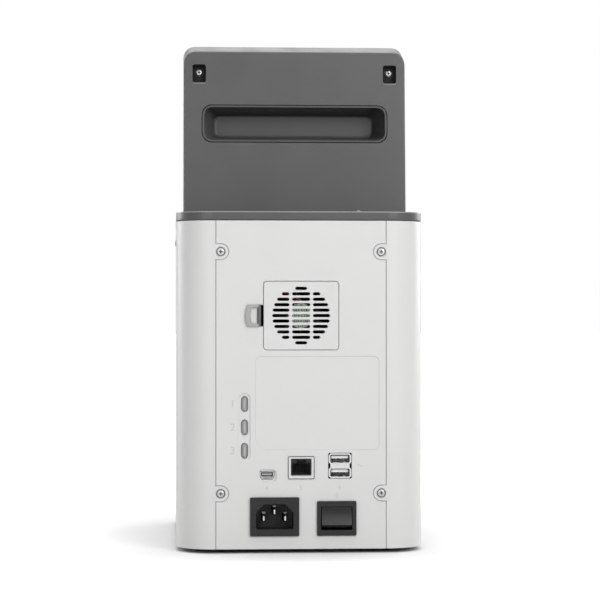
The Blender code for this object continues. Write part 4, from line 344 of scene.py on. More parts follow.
# Dark grey that stands for the shade on the catch's wall: painted shade
CATCH_SHADE_GREY = plastic("Catch strip painted shade", shade(104), 0.6, 1300, 0.00005, 0.06, 0.3)
PRINT_GREY = plastic("Panel print", shade(196, 196, 195), 0.6, 2500, 0.00001, 0.03, 0.3)
LABEL_PAPER = plastic("Fan label paper", shade(236, 240, 232), 0.6, 2500, 0.00002, 0.04, 0.3)
LABEL_GREEN = plastic("Fan label print", shade(120, 168, 134), 0.6, 2500, 0.00001, 0.12, 0.3)
LED_GREEN = plastic("Port light lens", shade(24, 38, 31), 0.25, 900, 0.00001, 0.08)
WIRE_RED = plastic("Red wire jacket", shade(150, 22, 20), 0.45, 1500, 0.00002, 0.06)
WIRE_BLACK = plastic("Black wire jacket", shade(30), 0.45, 1500, 0.00002, 0.06)
WIRE_PALE = plastic("Pale wire jacket", shade(150, 146, 120), 0.45, 1500, 0.00002, 0.06)
CONTACT_GREY = metal("Contact plating", shade(120, 116, 104), 0.35)
TIN = metal("Port tin plate", shade(226), 0.34, 0.4, 0.02)
PORT_GREY = metal("Port inner metal", shade(176), 0.4, 0.5, 0.03)
# Dark metal of the inlet pins is painted shade of the cavity, and their bright tips a painted highlight
PIN_SHADE = metal("Pin painted shade", shade(40), 0.5)
PIN_TIP_HIGHLIGHT = metal("Pin tip painted highlight", shade(250), 0.3, 0.2, 0.02)
MARK_GREY = plastic("Inlet mark", shade(235), 0.5, 2000, 0.00001, 0.04)
# Pale grey of the bead along the deck's edge: painted highlight
BEAD_HIGHLIGHT_GREY = plastic("Deck bead", shade(150), 0.3, 1500, 0.00002, 0.03)
# Near black that stands for the shade in gaps and slots: painted shade
GAP_SHADE_BLACK = plastic("Gap painted shade", shade(8), 0.85, 1500, 0.00002, 0.1, 0.05)
# Dark lining of the head's screw pockets: painted shade
POCKET_SHADE = plastic("Pocket liner", shade(34), 0.6, 1500, 0.00003, 0.08, 0.2)
# Pale grey of the pocket lip, lighter than the shell: painted highlight
POCKET_LIP_HIGHLIGHT = plastic("Pocket lip", shade(118), 0.34, spread=0.04)
# Grey of the seam lips, darker than the shell: painted shade of the seams
SEAM_SHADE_GREY = plastic("Seam lip", shade(178), 0.5, 1500, 0.00002, 0.02)
# Grey line round the label recess: painted shade of its edge
RECESS_EDGE_SHADE_GREY = plastic("Groove", shade(196), 0.5, 1500, 0.00002, 0.02)
# Grey line along one side of the buttons' recess: painted shade of its wall
BUTTON_RECESS_SHADE_GREY = plastic("Button recess painted shade", shade(168), 0.5, 1500, 0.00002, 0.02)
SCREW_DARK = metal("Screw ring metal", shade(110), 0.4)
SCREW_STEEL = metal("Screw plating", shade(214), 0.34, 0.6)

# Nodes that look different from the others of their slot
NODE_FINISHES = {
    "lan_shield": TIN,
    "switch_rocker": rocker_plastic(),
    "usb_shell": TIN,
    "mini_usb_shell": TIN,
    "inlet_pin_left": PIN_SHADE,
    "inlet_pin_right": PIN_SHADE,
    "inlet_pin_earth": PIN_SHADE,
    "rear_screw_lower_left": SCREW_DARK,
    "rear_screw_lower_right": SCREW_DARK,
    "rear_screw_upper_left": SCREW_DARK,
    "rear_screw_upper_right": SCREW_DARK,
    "head_screw_left": SCREW_DARK,
    "head_screw_right": SCREW_DARK,
}

# Width of the rounded edge that each CAD node gets, in mm; the others get EDGE
EDGE = 0.2
EDGES = {
    "side_cover_left": 0.05,
    "side_cover_right": 0.05,
    "front_panel": 0.25,
    "rear_panel": 0.15,
    "fan_cover": 0.06,
    "deck_frame": 0.1,
    "head_shell": 0.3,
    "handle_cup": 0.5,
    "inlet_housing": 0.25,
    "switch_housing": 0.25,
    "switch_rocker": 0.3,
    "lan_shield": 0.15,
    "usb_shell": 0.15,
    "mini_usb_shell": 0.1,
    "mini_usb_core": 0.05,
    "lan_insert": 0.1,
    "inlet_pin_left": 0.1,
    "inlet_pin_right": 0.1,
    "inlet_pin_earth": 0.1,
    "fan_frame": 0.15,
    "fan_rotor": 0.1,
    "reagent_disc": 0.1,
    "touch_glass": 0.15,
    "rear_button_upper": 0.1,
    "rear_button_middle": 0.1,
    "rear_button_lower": 0.1,
}
SOLID_NODES = ("main_board", "button_board", "power_supply", "fan_rotor")

# Left in triangles, because its underside has a hole in one flat face
TRIANGLE_NODES = ("cover_catch",)


# Points closer than this, in metres, are welded, and faces that turn less than this are joined
WELD_GAP = 2e-6
FLAT_ANGLE = math.radians(0.5)

# What counts as a rounded corner: how far its normal may stray, and how far inside the radius it may lie
CORNER_STRAY = math.radians(14)
CORNER_SLACK = 0.12 * MM


def new_group(name):
    """Geometry node group that takes and gives a mesh, with its two ends."""
    group = bpy.data.node_groups.new(name, "GeometryNodeTree")
    for way in ("INPUT", "OUTPUT"):
        group.interface.new_socket("Geometry", in_out=way, socket_type="NodeSocketGeometry")
    return group, group.nodes.new("NodeGroupInput"), group.nodes.new("NodeGroupOutput")


def smoothing_group():
    """Geometry nodes that drop imported normals and shade smooth between sharp edges."""
    group, start, end = new_group("Smooth by angle")
    drop = group.nodes.new("GeometryNodeRemoveAttribute")
    drop.inputs["Name"].default_value = "custom_normal"
    angle = group.nodes.new("GeometryNodeInputMeshEdgeAngle")
    compare = group.nodes.new("FunctionNodeCompare")
    compare.operation = "LESS_THAN"
    compare.inputs[1].default_value = SMOOTH_ANGLE
    faces = group.nodes.new("GeometryNodeSetShadeSmooth")
    faces.domain = "FACE"
    edges = group.nodes.new("GeometryNodeSetShadeSmooth")
    edges.domain = "EDGE"
    group.links.new(start.outputs[0], drop.inputs["Geometry"])
    group.links.new(drop.outputs[0], faces.inputs["Geometry"])
    group.links.new(faces.outputs[0], edges.inputs["Geometry"])
    group.links.new(angle.outputs["Unsigned Angle"], compare.inputs[0])
    group.links.new(compare.outputs[0], edges.inputs["Shade Smooth"])
    group.links.new(edges.outputs[0], end.inputs[0])
    return group


def corner_group():
    """Geometry nodes that shade the side covers' rounded corners as true cylinders."""
    group, start, end = new_group("Round corners")
    place = group.nodes.new("GeometryNodeInputPosition")
    split = group.nodes.new("ShaderNodeSeparateXYZ")
    group.links.new(place.outputs[0], split.inputs[0])
    outward = group.nodes.new("ShaderNodeCombineXYZ")
    reaches = []
    for axis, corner in ((0, CORNER_X), (1, CORNER_Y)):
        value = split.outputs[axis]
        reach = beyond(group, value, corner)
        reaches.append(reach)
        signed = math_node(group, "MULTIPLY", reach, math_node(group, "SIGN", value))
        group.links.new(signed, outward.inputs[axis])
    unit = group.nodes.new("ShaderNodeVectorMath")
    unit.operation = "NORMALIZE"
    group.links.new(outward.outputs[0], unit.inputs[0])
    normal = group.nodes.new("GeometryNodeInputNormal")
    match = group.nodes.new("ShaderNodeVectorMath")
    match.operation = "DOT_PRODUCT"
    group.links.new(normal.outputs[0], match.inputs[0])
    group.links.new(unit.outputs[0], match.inputs[1])
    alike = math_node(group, "GREATER_THAN", match.outputs["Value"], math.cos(CORNER_STRAY))
    close = math_node(group, "GREATER_THAN", diagonal(group, *reaches), CORNER_RADIUS - CORNER_SLACK)
    mix = group.nodes.new("ShaderNodeMix")
    mix.data_type = "VECTOR"
    group.links.new(math_node(group, "MULTIPLY", alike, close), mix.inputs["Factor"])
    group.links.new(normal.outputs[0], mix.inputs[4])
    group.links.new(unit.outputs[0], mix.inputs[5])
    turn = group.nodes.new("GeometryNodeSetMeshNormal")
    turn.mode = "FREE"
    turn.domain = "CORNER"
    group.links.new(start.outputs[0], turn.inputs["Mesh"])
    group.links.new(mix.outputs[1], turn.inputs["Custom Normal"])
    group.links.new(turn.outputs[0], end.inputs[0])
    return group


def dress_nodes():
    """Give each CAD node its finish, welded faces, rounded edges and smooth shading."""
    group = smoothing_group()
    corners = corner_group()
    for name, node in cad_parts.items():
        slot_name = node.data.materials[0].name.split(".")[0]
        node.data.materials[0] = NODE_FINISHES.get(name, FINISHES[slot_name])
        weld = node.modifiers.new("Weld", "WELD")
        weld.merge_threshold = WELD_GAP
        if name not in TRIANGLE_NODES:
            flatten = node.modifiers.new("Flatten", "DECIMATE")
            flatten.decimate_type = "DISSOLVE"
            flatten.angle_limit = FLAT_ANGLE
        if name not in SOLID_NODES:
            edge = node.modifiers.new("Rounded edges", "BEVEL")
            edge.width = EDGES.get(name, EDGE) * MM
            edge.segments = 2
            edge.limit_method = "ANGLE"
            edge.angle_limit = SMOOTH_ANGLE
            edge.use_clamp_overlap = False
        smooth = node.modifiers.new("Smooth", "NODES")
        smooth.node_group = group
        weigh = node.modifiers.new("Weighted", "WEIGHTED_NORMAL")
        weigh.keep_sharp = True
        if name.startswith("side_cover"):
            turn = node.modifiers.new("Round corners", "NODES")
            turn.node_group = corners


def middle_of(node):
    """Middle of a node's box across and up, in mm."""
    low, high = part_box(node)
    return (low.x + high.x) / 2 / MM, (low.z + high.z) / 2 / MM


def rear_of(node):
    """Rear of a node's box, in mm."""
    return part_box(node)[1].y / MM


# Least corner radius of an outline that is moved in, in mm
LEAST_RADIUS = 0.02


def rounded(width, height, radius, centre=(0, 0), inset=0.0, steps=6):
    """Rounded rectangle in mm, moved in by the inset, as points in metres."""
    radius = max(radius - inset, LEAST_RADIUS)
    reach_u = width / 2 - inset - radius
    reach_v = height / 2 - inset - radius
    points = []
    for side, end, start in ((1, 1, 0), (-1, 1, 90), (-1, -1, 180), (1, -1, 270)):
        for step in range(steps + 1):
            angle = math.radians(start + 90 * step / steps)
            u = centre[0] + side * reach_u + radius * math.cos(angle)
            v = centre[1] + end * reach_v + radius * math.sin(angle)
            points.append((u * MM, v * MM))
    return points


def round_outline(reach, centre, steps):
    """Outline in mm whose distance from its centre follows from the angle, as points in metres."""
    points = []
    for step in range(steps):
        angle = 2 * math.pi * (step + 0.5) / steps
        radius = reach(angle)
        u = centre[0] + radius * math.cos(angle)
        v = centre[1] + radius * math.sin(angle)
        points.append((u * MM, v * MM))
    return points


def ring(radius, centre=(0, 0), steps=48):
    return round_outline(lambda angle: radius, centre, steps)


def cross(length, width, centre=(0, 0), steps=48):
    """Cross outline in mm with the same number of points as a ring around it."""

    def reach(angle):
        u, v = abs(math.cos(angle)), abs(math.sin(angle))
        return min(length / 2 / max(u, v), width / 2 / min(u, v))

    return round_outline(reach, centre, steps)


def on_plane(plane, outline, level):
    return [plane @ Vector((u, v, level * MM)) for u, v in outline]


def add_object(name, data):
    thing = bpy.data.objects.new(name, data)
    bpy.context.scene.collection.objects.link(thing)
    return thing


def loft(name, rows, finish, body, closed=False):
    """Smooth skin over rings of points, closed on itself or capped at both ends."""
    form = bmesh.new()
    rings = [[form.verts.new(point) for point in row] for row in rows]
    pairs = list(zip(rings, rings[1:]))
    if closed:
        pairs.append((rings[-1], rings[0]))
    else:
        form.faces.new(rings[0])
        form.faces.new(rings[-1])
    for first, second in pairs:
        for index in range(len(first)):
            after = (index + 1) % len(first)
            form.faces.new((first[index], first[after], second[after], second[index]))
    bmesh.ops.recalc_face_normals(form, faces=form.faces)
    mesh = bpy.data.meshes.new(name)
    form.to_mesh(mesh)
    form.free()
    mesh.shade_smooth()
    mesh.set_sharp_from_angle(angle=SMOOTH_ANGLE)
    mesh.materials.append(finish)
    piece = add_object(name, mesh)
    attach(piece, body)


def raised(name, plane, base, size, centre, section, finish, body):
    """Low pad on a plane; size is its width, height and corner radius, and section its insets and levels."""
    rows = [
        on_plane(plane, rounded(*size, centre, inset), base + level)
        for inset, level in section
    ]
    loft(name, rows, finish, body)


def frame_strip(name, size, centre, outside, levels, finish, slot):
    """Frame on the rear face; outside gives its outer and inner distance from the outline in mm."""
    far, near = outside
    low, high = levels
    rows = []
    for reach, level in ((far, low), (far, high), (near, high), (near, low)):
        rows.append(on_plane(REAR_PLANE, rounded(*size, centre, -reach), REAR / MM + level))
    loft(name, rows, finish, "housing", closed=True)


# Sharpest turn of a lip that keeps its full width, as the cosine of half the turn
LIP_TURN = 0.5


def lip(name, path, width, levels, finish, closed=False):
    """Thin strip on the rear face along a path in mm, with its two levels from the face."""
    face = REAR / MM
    low, high = levels
    rows = []
    count = len(path)
    for index, point in enumerate(path):
        before = path[(index - 1) % count] if closed or index else point
        after = path[(index + 1) % count] if closed or index < count - 1 else point
        here = Vector(point)
        steps = (here - Vector(before), Vector(after) - here)
        ways = [step.normalized() for step in steps if step.length > 0]
        way = sum(ways, Vector((0, 0))).normalized()
        side = Vector((-way.y, way.x)) * width / 2 / max(way.dot(ways[0]), LIP_TURN)
        row = []
        for spot, level in ((here - side, low), (here - side, high), (here + side, high), (here + side, low)):
            row.append(REAR_PLANE @ Vector((spot.x * MM, spot.y * MM, (face + level) * MM)))
        rows.append(row)
    loft(name, rows, finish, "housing", closed)


# Points that a wire's curve gets between two points of its route
TUBE_STEPS = 6


def tube(name, points, radius, finish, sides=10):
    """Round wire of the housing through points in mm, with a rounded path."""
    spots = [Vector(point) * MM for point in points]
    path = []
    for index in range(len(spots) - 1):
        before = spots[max(index - 1, 0)]
        after = spots[min(index + 2, len(spots) - 1)]
        start, end = spots[index], spots[index + 1]
        for step in range(TUBE_STEPS):
            t = step / TUBE_STEPS
            bend = (end - before) * 0.5 * (t - 2 * t**2 + t**3) + (after - start) * 0.5 * (t**3 - t**2)
            path.append(start * (1 - 3 * t**2 + 2 * t**3) + end * (3 * t**2 - 2 * t**3) + bend)
    path.append(spots[-1])
    rows = []
    side = Vector((0, 1, 0))
    for index, spot in enumerate(path):
        along = (path[min(index + 1, len(path) - 1)] - path[max(index - 1, 0)]).normalized()
        across = along.cross(side).normalized()
        upward = across.cross(along)
        row = []
        for step in range(sides):
            angle = 2 * math.pi * step / sides
            row.append(spot + (across * math.cos(angle) + upward * math.sin(angle)) * radius * MM)
        rows.append(row)
    loft(name, rows, finish, "housing")


# Label on the fan's hub: rings as radius and level, then each row of bars as its rise and the bars' ends
LABEL_RINGS = ((8.1, 0.02), (8.1, 0.12), (8.0, 0.2))
LABEL_BARS = (
    (7.0, (2.9, 1.9), (0.4, -1.2)),
    (3.54, (4.8, 3.9), (3.6, 2.1), (1.8, 0.6), (0.2, -1.4), (-1.8, -2.9), (-3.3, -4.4)),
    (0.0, (5.6, 4.8), (4.5, 3.2), (2.9, 2.2), (1.9, 0.3), (-0.1, -1.5), (-1.9, -3.1), (-3.4, -5.4)),
    (-3.54, (4.9, 3.4), (3.1, 2.4), (2.0, 0.9), (0.5, -0.9), (-1.3, -2.0), (-2.4, -4.1), (-4.4, -5.0)),
    (-7.0, (2.0, 0.9), (0.6, -0.4), (-0.7, -1.6)),
)
BAR_SHARE = 0.8
BAR_HEIGHT = 1.1
BAR_RADIUS = 0.2
BAR_SECTION = ((0, 0.18), (0.05, 0.24))

# Wires of the fan: each one's shift, and the route as x, level, rise, and how far the shift moves x and rise
WIRES = (("red", WIRE_RED, 0.0), ("black", WIRE_BLACK, -1.15), ("pale", WIRE_PALE, -2.3))
WIRE_RADIUS = 0.5
WIRE_ROUTE = (
    (1.2, 0.55, 8.2, 1.0, 0.0),
    (3.1, 0.75, 10.5, 1.0, 0.0),
    (6.2, 0.95, 12.4, 0.7, 0.0),
    (10.0, 0.75, 14.3, 0.4, -0.3),
    (13.8, 0.35, 16.6, 0.2, -0.6),
)


def make_fan_details():
    """Round label on the fan's hub plate, with rows of plain bars, and the fan's wires."""
    middle = middle_of("fan_frame")[1]
    face = rear_of("fan_frame")
    rows = [on_plane(REAR_PLANE, ring(radius, (0, middle)), face + level) for radius, level in LABEL_RINGS]
    loft("fan_label", rows, LABEL_PAPER, "housing")
    for row, (rise, *spans) in enumerate(LABEL_BARS):
        for column, (start, end) in enumerate(spans):
            size = ((start - end) * BAR_SHARE, BAR_HEIGHT, BAR_RADIUS)
            centre = ((start + end) / 2, middle + rise)
            raised(f"fan_label_bar_{row}_{column}", REAR_PLANE, face, size, centre, BAR_SECTION,
                   LABEL_GREEN, "housing")
    for name, finish, shift in WIRES:
        points = [
            (x + shift * share, face + level, middle + rise + shift * rise_share)
            for x, level, rise, share, rise_share in WIRE_ROUTE
        ]
        tube(f"fan_wire_{name}", points, WIRE_RADIUS, finish)


# Pad in a rear button: width, height and radius, its floor below the button's face, and its section
PAD_SIZE = (1.8, 7.7, 0.9)
PAD_FLOOR = 0.4
PAD_SECTION = ((0, 0.0), (0, 0.05), (0.15, 0.2), (0.5, 0.3))


def make_button_pads():
    """Paler raised middle on each of the three rear buttons."""
    for place in ("upper", "middle", "lower"):
        node = f"rear_button_{place}"
        raised(f"rear_button_pad_{place}", REAR_PLANE, rear_of(node) - PAD_FLOOR, PAD_SIZE, middle_of(node),
               PAD_SECTION, PAD_GREY, f"{place}_rear_button")


# Strip of painted shade on the catch's wall and black floor of painted shade beside it: width, height and
# radius, place across, depth below the face, and section
STRIP_SIZE = (1.9, 13.0, 0.3)
STRIP_X = 27.27
STRIP_DEPTH = 0.9
STRIP_SECTION = ((0, 0.0), (0, 2.5), (0.12, 2.7), (0.35, 2.85), (0.7, 2.9))
CATCH_FLOOR_SIZE = (2.1, 13.0, 0.1)
CATCH_FLOOR_X = 25.4
CATCH_FLOOR_DEPTH = 2.7
CATCH_FLOOR_SECTION = ((0, 0.0), (0, 0.12))


def make_catch_strip():
    """Dark grey strip on the catch's wall and a black floor beside it, both painted shade of the slot."""
    middle = middle_of("cover_catch")[1]
    raised("catch_shade_strip", REAR_PLANE, REAR / MM - STRIP_DEPTH, STRIP_SIZE, (STRIP_X, middle), STRIP_SECTION,
           CATCH_SHADE_GREY, "cover_catch")
    raised("catch_slot_shade", REAR_PLANE, REAR / MM - CATCH_FLOOR_DEPTH, CATCH_FLOOR_SIZE,
           (CATCH_FLOOR_X, middle), CATCH_FLOOR_SECTION, GAP_SHADE_BLACK, "cover_catch")


# Gap between rear panel and side covers, in mm: its place across, its foot, and the turn round each screw ear
GAP_X = 55.5
GAP_FOOT = 3.0
GAP_HEAD_SPACE = 0.2
EAR_X = 52.3
EAR_REACH = 5.2
EAR_HEIGHTS = (38.9, 196.0)
EAR_STEPS = 16
GAP_LIP_WIDTH = 0.5
GAP_LIP_LEVELS = (-1.0, -0.5)

# Flat recess of the rear panel, with one corner cut off, and the grey line of painted shade round it
RECESS_SIZE = (80.9, 61.1, 3.5)
RECESS_CENTRE = (-10.5, 97.5)
RECESS_CUT = 6.2
RECESS_CORNER_POINTS = 7
RECESS_LINE_INSET = 0.2
RECESS_LINE_WIDTH = 0.3
RECESS_LINE_LEVELS = (-0.3, -0.27)

# Left side of the buttons' recess, where a grey line of painted shade runs: a straight part, and an arc over
# its top
BUTTON_RECESS_X = 36.8
BUTTON_RECESS_RADIUS = 3.5
BUTTON_RECESS_FOOT = 62.0
BUTTON_RECESS_TOP = 100.5
BUTTON_RECESS_STEP = 3.3
BUTTON_RECESS_STEPS = 13
BUTTON_ARC_STEPS = 10
BUTTON_LINE_WIDTH = 0.25
BUTTON_LINE_LEVELS = (-0.5, -0.46)


def make_seam_lips():
    """Pale grey lips inside the gaps round the side covers and their screw ears, darker than the shell as
    painted shade of the seams, and grey lines of painted shade along the edges of two recesses.
    """
    for name, side in (("left", 1), ("right", -1)):
        path = [(side * GAP_X, GAP_FOOT)]
        for z in EAR_HEIGHTS:
            path += [(side * GAP_X, z - EAR_REACH), (side * EAR_X, z - EAR_REACH)]
            for step in range(1, EAR_STEPS):
                angle = math.pi * (1.5 - step / EAR_STEPS)
                path.append((side * (EAR_X + EAR_REACH * math.cos(angle)), z + EAR_REACH * math.sin(angle)))
            path += [(side * EAR_X, z + EAR_REACH), (side * GAP_X, z + EAR_REACH)]
        path.append((side * GAP_X, COVER_TOP / MM - GAP_HEAD_SPACE))
        lip(f"seam_lip_{name}", path, GAP_LIP_WIDTH, GAP_LIP_LEVELS, SEAM_SHADE_GREY)
    outline = rounded(*RECESS_SIZE, RECESS_CENTRE, RECESS_LINE_INSET)[:-RECESS_CORNER_POINTS]
    outline = [(u / MM, v / MM) for u, v in outline]
    corner_x = RECESS_CENTRE[0] + RECESS_SIZE[0] / 2
    corner_z = RECESS_CENTRE[1] - RECESS_SIZE[1] / 2
    outline.append((corner_x - RECESS_CUT, corner_z + RECESS_LINE_INSET))
    outline.append((corner_x - RECESS_LINE_INSET, corner_z + RECESS_CUT))
    lip("label_recess_shade_line", outline, RECESS_LINE_WIDTH, RECESS_LINE_LEVELS, RECESS_EDGE_SHADE_GREY, closed=True)
    sweep = [
        (BUTTON_RECESS_X - BUTTON_RECESS_RADIUS, BUTTON_RECESS_FOOT + BUTTON_RECESS_STEP * step)
        for step in range(BUTTON_RECESS_STEPS)
    ]
    for step in range(1, BUTTON_ARC_STEPS):
        angle = math.pi * (1 - step / BUTTON_ARC_STEPS)
        sweep.append((
            BUTTON_RECESS_X + BUTTON_RECESS_RADIUS * math.cos(angle),
            BUTTON_RECESS_TOP + BUTTON_RECESS_RADIUS * math.sin(angle),
        ))
    lip("button_recess_groove", sweep, BUTTON_LINE_WIDTH, BUTTON_LINE_LEVELS, BUTTON_RECESS_SHADE_GREY)


# Network port: its opening in the panel, the lights in its upper corners, the contacts' route as depth and
# rise, and the black frame of painted shade in its gap and the surround as distances from the opening and
# levels
LAN_SIZE = (17.1, 14.7, 0.6)
LAN_CENTRE = (0, 55.6)
LAN_LIGHT_SIZE = (3.4, 1.9, 0.3)
LAN_LIGHT_X = 4.7
LAN_LIGHT_DROP = 1.2
LAN_LIGHT_SECTION = ((0, 0.0), (0, 0.1), (0.2, 0.22))
LAN_CONTACTS = 8
LAN_CONTACT_PITCH = 1.02
LAN_CONTACT_RADIUS = 0.2
LAN_CONTACT_ROUTE = ((11.6, 6.4), (8.0, 5.6), (3.2, 1.9), (2.2, 0.95))
LAN_GAP_SHADE = ((0.03, -0.36), (-1.2, 0.33))
LAN_SURROUND = ((0.29, 0.03), (-1.2, -0.01))
CONTACT_SIDES = 6


def make_lan_details():
    """Lights, contacts, black frame of painted shade in the gap, and surround of the network port."""
    low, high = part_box("lan_insert")
    face = high.y / MM
    for name, side in (("left", 1), ("right", -1)):
        centre = (side * LAN_LIGHT_X, high.z / MM - LAN_LIGHT_DROP)
        raised(f"lan_light_{name}", REAR_PLANE, face, LAN_LIGHT_SIZE, centre, LAN_LIGHT_SECTION,
               LED_GREEN, "housing")
    for column in range(LAN_CONTACTS):
        x = (column - (LAN_CONTACTS - 1) / 2) * LAN_CONTACT_PITCH
        points = [(x, face - depth, low.z / MM + rise) for depth, rise in LAN_CONTACT_ROUTE]
        tube(f"lan_contact_{column}", points, LAN_CONTACT_RADIUS, CONTACT_GREY, CONTACT_SIDES)
    frame_strip("lan_gap_shade", LAN_SIZE, LAN_CENTRE, *LAN_GAP_SHADE, GAP_SHADE_BLACK, "rubber")
    frame_strip("lan_surround", LAN_SIZE, LAN_CENTRE, *LAN_SURROUND, FINISHES["white_shell"], "white_shell")


# Mini USB port: tongue and floor as size, height of the centre, depth of the foot, and section
MINI_USB_X = 22.1
MINI_USB_PIECES = (
    ("tongue", (6.9, 1.3, 0.2), 51.3, 4.0, ((0, 0.0), (0, 2.2), (0.15, 2.4))),
    ("floor", (6.6, 1.2, 0.2), 49.3, 4.4, ((0, 0.0), (0, 2.0), (0.15, 2.1))),
)

# Twin USB port: its opening in the panel, then contacts and springs as depth and rise
USB_SIZE = (14.8, 16.2, 0.3)
USB_CENTRE = (-25.3, 56.8)
# Black frame of painted shade in the port's gap: distances from the opening and levels
USB_GAP_SHADE = ((0.27, -1.5), (-1.8, -1.1))
USB_PORT_RISE = 4.5
USB_CONTACTS = 4
USB_CONTACT_PITCH = 2.2
USB_CONTACT_RADIUS = 0.28
USB_CONTACT_ROUTE = ((12.0, 0.02), (6.0, 0.0), (3.4, -0.25), (2.9, 0.0))
USB_SPRING_X = 2.9
USB_SPRING_DROP = 2.6
USB_SPRING_REACH = 1.1
USB_SPRING_THICKNESS = 0.22
USB_SPRING_ROUTE = ((0.9, 0.0), (2.2, 0.75), (3.4, 1.0), (4.6, 0.75), (7.5, 0.0))


def make_usb_details():
    """Black frame of painted shade in the gap, contacts and springs of the twin USB port, and tongue and
    floor of the mini USB port.
    """
    frame_strip("usb_gasket", USB_SIZE, USB_CENTRE, *USB_GAP_SHADE, GAP_SHADE_BLACK, "rubber")
    for name, size, z, depth, section in MINI_USB_PIECES:
        raised(f"mini_usb_{name}", REAR_PLANE, REAR / MM - depth, size, (MINI_USB_X, z), section,
               PORT_GREY, "housing")
    centre_x, centre_z = middle_of("usb_shell")
    face = rear_of("usb_shell")
    for port, rise in (("lower", -USB_PORT_RISE), ("upper", USB_PORT_RISE)):
        z = centre_z + rise
        for column in range(USB_CONTACTS):
            x = centre_x + (column - (USB_CONTACTS - 1) / 2) * USB_CONTACT_PITCH
            points = [(x, face - depth, z + lift) for depth, lift in USB_CONTACT_ROUTE]
            tube(f"usb_contact_{port}_{column}", points, USB_CONTACT_RADIUS, CONTACT_GREY,
                 CONTACT_SIDES)
        for side_name, side in (("left", 1), ("right", -1)):
            x = centre_x + side * USB_SPRING_X
            rows = []
            for depth, lift in USB_SPRING_ROUTE:
                base = z - USB_SPRING_DROP + lift
                top = base + USB_SPRING_THICKNESS
                near, far = x - USB_SPRING_REACH, x + USB_SPRING_REACH
                corners = ((near, base), (far, base), (far, top), (near, top))
                rows.append([Vector((u, face - depth, v)) * MM for u, v in corners])
            loft(f"usb_spring_{port}_{side_name}", rows, FINISHES["steel"], "housing")


# Power inlet: bright tip of a pin, a painted highlight, and the bar that stands beside it on the inlet's
# floor
TIP_SIZE = (1.1, 3.1, 0.5)
TIP_SECTION = ((0, 0.0), (0, 0.3), (0.25, 0.6))
TIP_DEPTH = 0.1
MARK_SIZE = (2.2, 1.0, 0.2)
MARK_SECTION = ((0, 0.0), (0, 2.5), (0.15, 2.7))
MARK_SHIFT = (-0.4, 2.85)
INLET_FLOOR = 1.9


def make_inlet_marks():
    """Bright tip of painted highlight on each pin of the power inlet, and a small raised bar above it."""
    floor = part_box("inlet_housing")[0].y / MM + INLET_FLOOR
    for name in ("left", "right", "earth"):
        x, z = middle_of(f"inlet_pin_{name}")
        raised(f"inlet_tip_{name}", REAR_PLANE, rear_of(f"inlet_pin_{name}") - TIP_DEPTH, TIP_SIZE, (x, z),
               TIP_SECTION, PIN_TIP_HIGHLIGHT, "housing")
        raised(f"inlet_mark_{name}", REAR_PLANE, floor, MARK_SIZE, (x + MARK_SHIFT[0], z + MARK_SHIFT[1]),
               MARK_SECTION, MARK_GREY, "housing")


# Screw domes: rings as radius and level, then the cross recess as length, width and level
REAR_DOME = (
    ((2.3, -0.3), (2.3, 0.02), (2.05, 0.24), (1.6, 0.36)),
    ((2.4, 0.75, 0.38), (2.1, 0.6, -0.3)),
)
HEAD_DOME = (
    ((2.06, -0.4), (2.06, -0.05), (1.8, 0.18), (1.45, 0.3)),
    ((2.2, 0.7, 0.32), (2.0, 0.6, -0.4)),
)
HEAD_SCREW_HEIGHT = 99.0
HEAD_SCREW_FACE = -6.2

# Pocket of a head screw: the outline and section of its dark lining of painted shade, the hole for the screw,
# and the pale lip of painted highlight at its foot
POCKET_SIZE = (9.2, 12.4, 1.5)
POCKET_HEIGHT = 97.4
POCKET_SECTION = ((0.02, -5.97), (0.02, -0.5), (0.3, -0.5), (0.3, -5.75))
POCKET_HOLE_RADIUS = 2.9
POCKET_HOLE_POINTS = 28
POCKET_HOLE_LEVELS = (-5.75, -5.97)
POCKET_LIP_SIZE = (8.2, 0.8, 0.4)
POCKET_LIP_HEIGHT = 90.6
POCKET_LIP_SECTION = ((0, -0.05), (0, 0.02), (0.2, 0.1))


def screw_dome(name, plane, centre, face, dome):
    """Domed screw head with a cross recess."""
    rings, recess = dome
    rows = [on_plane(plane, ring(radius, centre), face + level) for radius, level in rings]
    rows += [on_plane(plane, cross(length, width, centre), face + level) for length, width, level in recess]
    loft(name, rows, SCREW_STEEL, "housing", closed=True)


def make_screw_heads():
    """Domed heads over the rear screws and the head screws, and the head screws' pockets, with a dark lining
    of painted shade and a pale lip of painted highlight.
    """
    for name in ("lower_left", "lower_right", "upper_left", "upper_right"):
        node = f"rear_screw_{name}"
        screw_dome(f"screw_dome_{name}", REAR_PLANE, middle_of(node), rear_of(node), REAR_DOME)
    for name in ("left", "right"):
        x = middle_of(f"head_screw_{name}")[0]
        centre = (x, HEAD_SCREW_HEIGHT)
        shade_rows = [
            on_plane(HEAD_PLANE, rounded(*POCKET_SIZE, (x, POCKET_HEIGHT), inset), level)
            for inset, level in POCKET_SECTION
        ]
        for level in POCKET_HOLE_LEVELS:
            shade_rows.append(on_plane(HEAD_PLANE, ring(POCKET_HOLE_RADIUS, centre, POCKET_HOLE_POINTS), level))
        loft(f"pocket_shade_{name}", shade_rows, POCKET_SHADE, "housing", closed=True)
        raised(f"pocket_lip_{name}", HEAD_PLANE, 0, POCKET_LIP_SIZE, (x, POCKET_LIP_HEIGHT),
               POCKET_LIP_SECTION, POCKET_LIP_HIGHLIGHT, "housing")
        screw_dome(f"pocket_screw_dome_{name}", HEAD_PLANE, centre, HEAD_SCREW_FACE, HEAD_DOME)


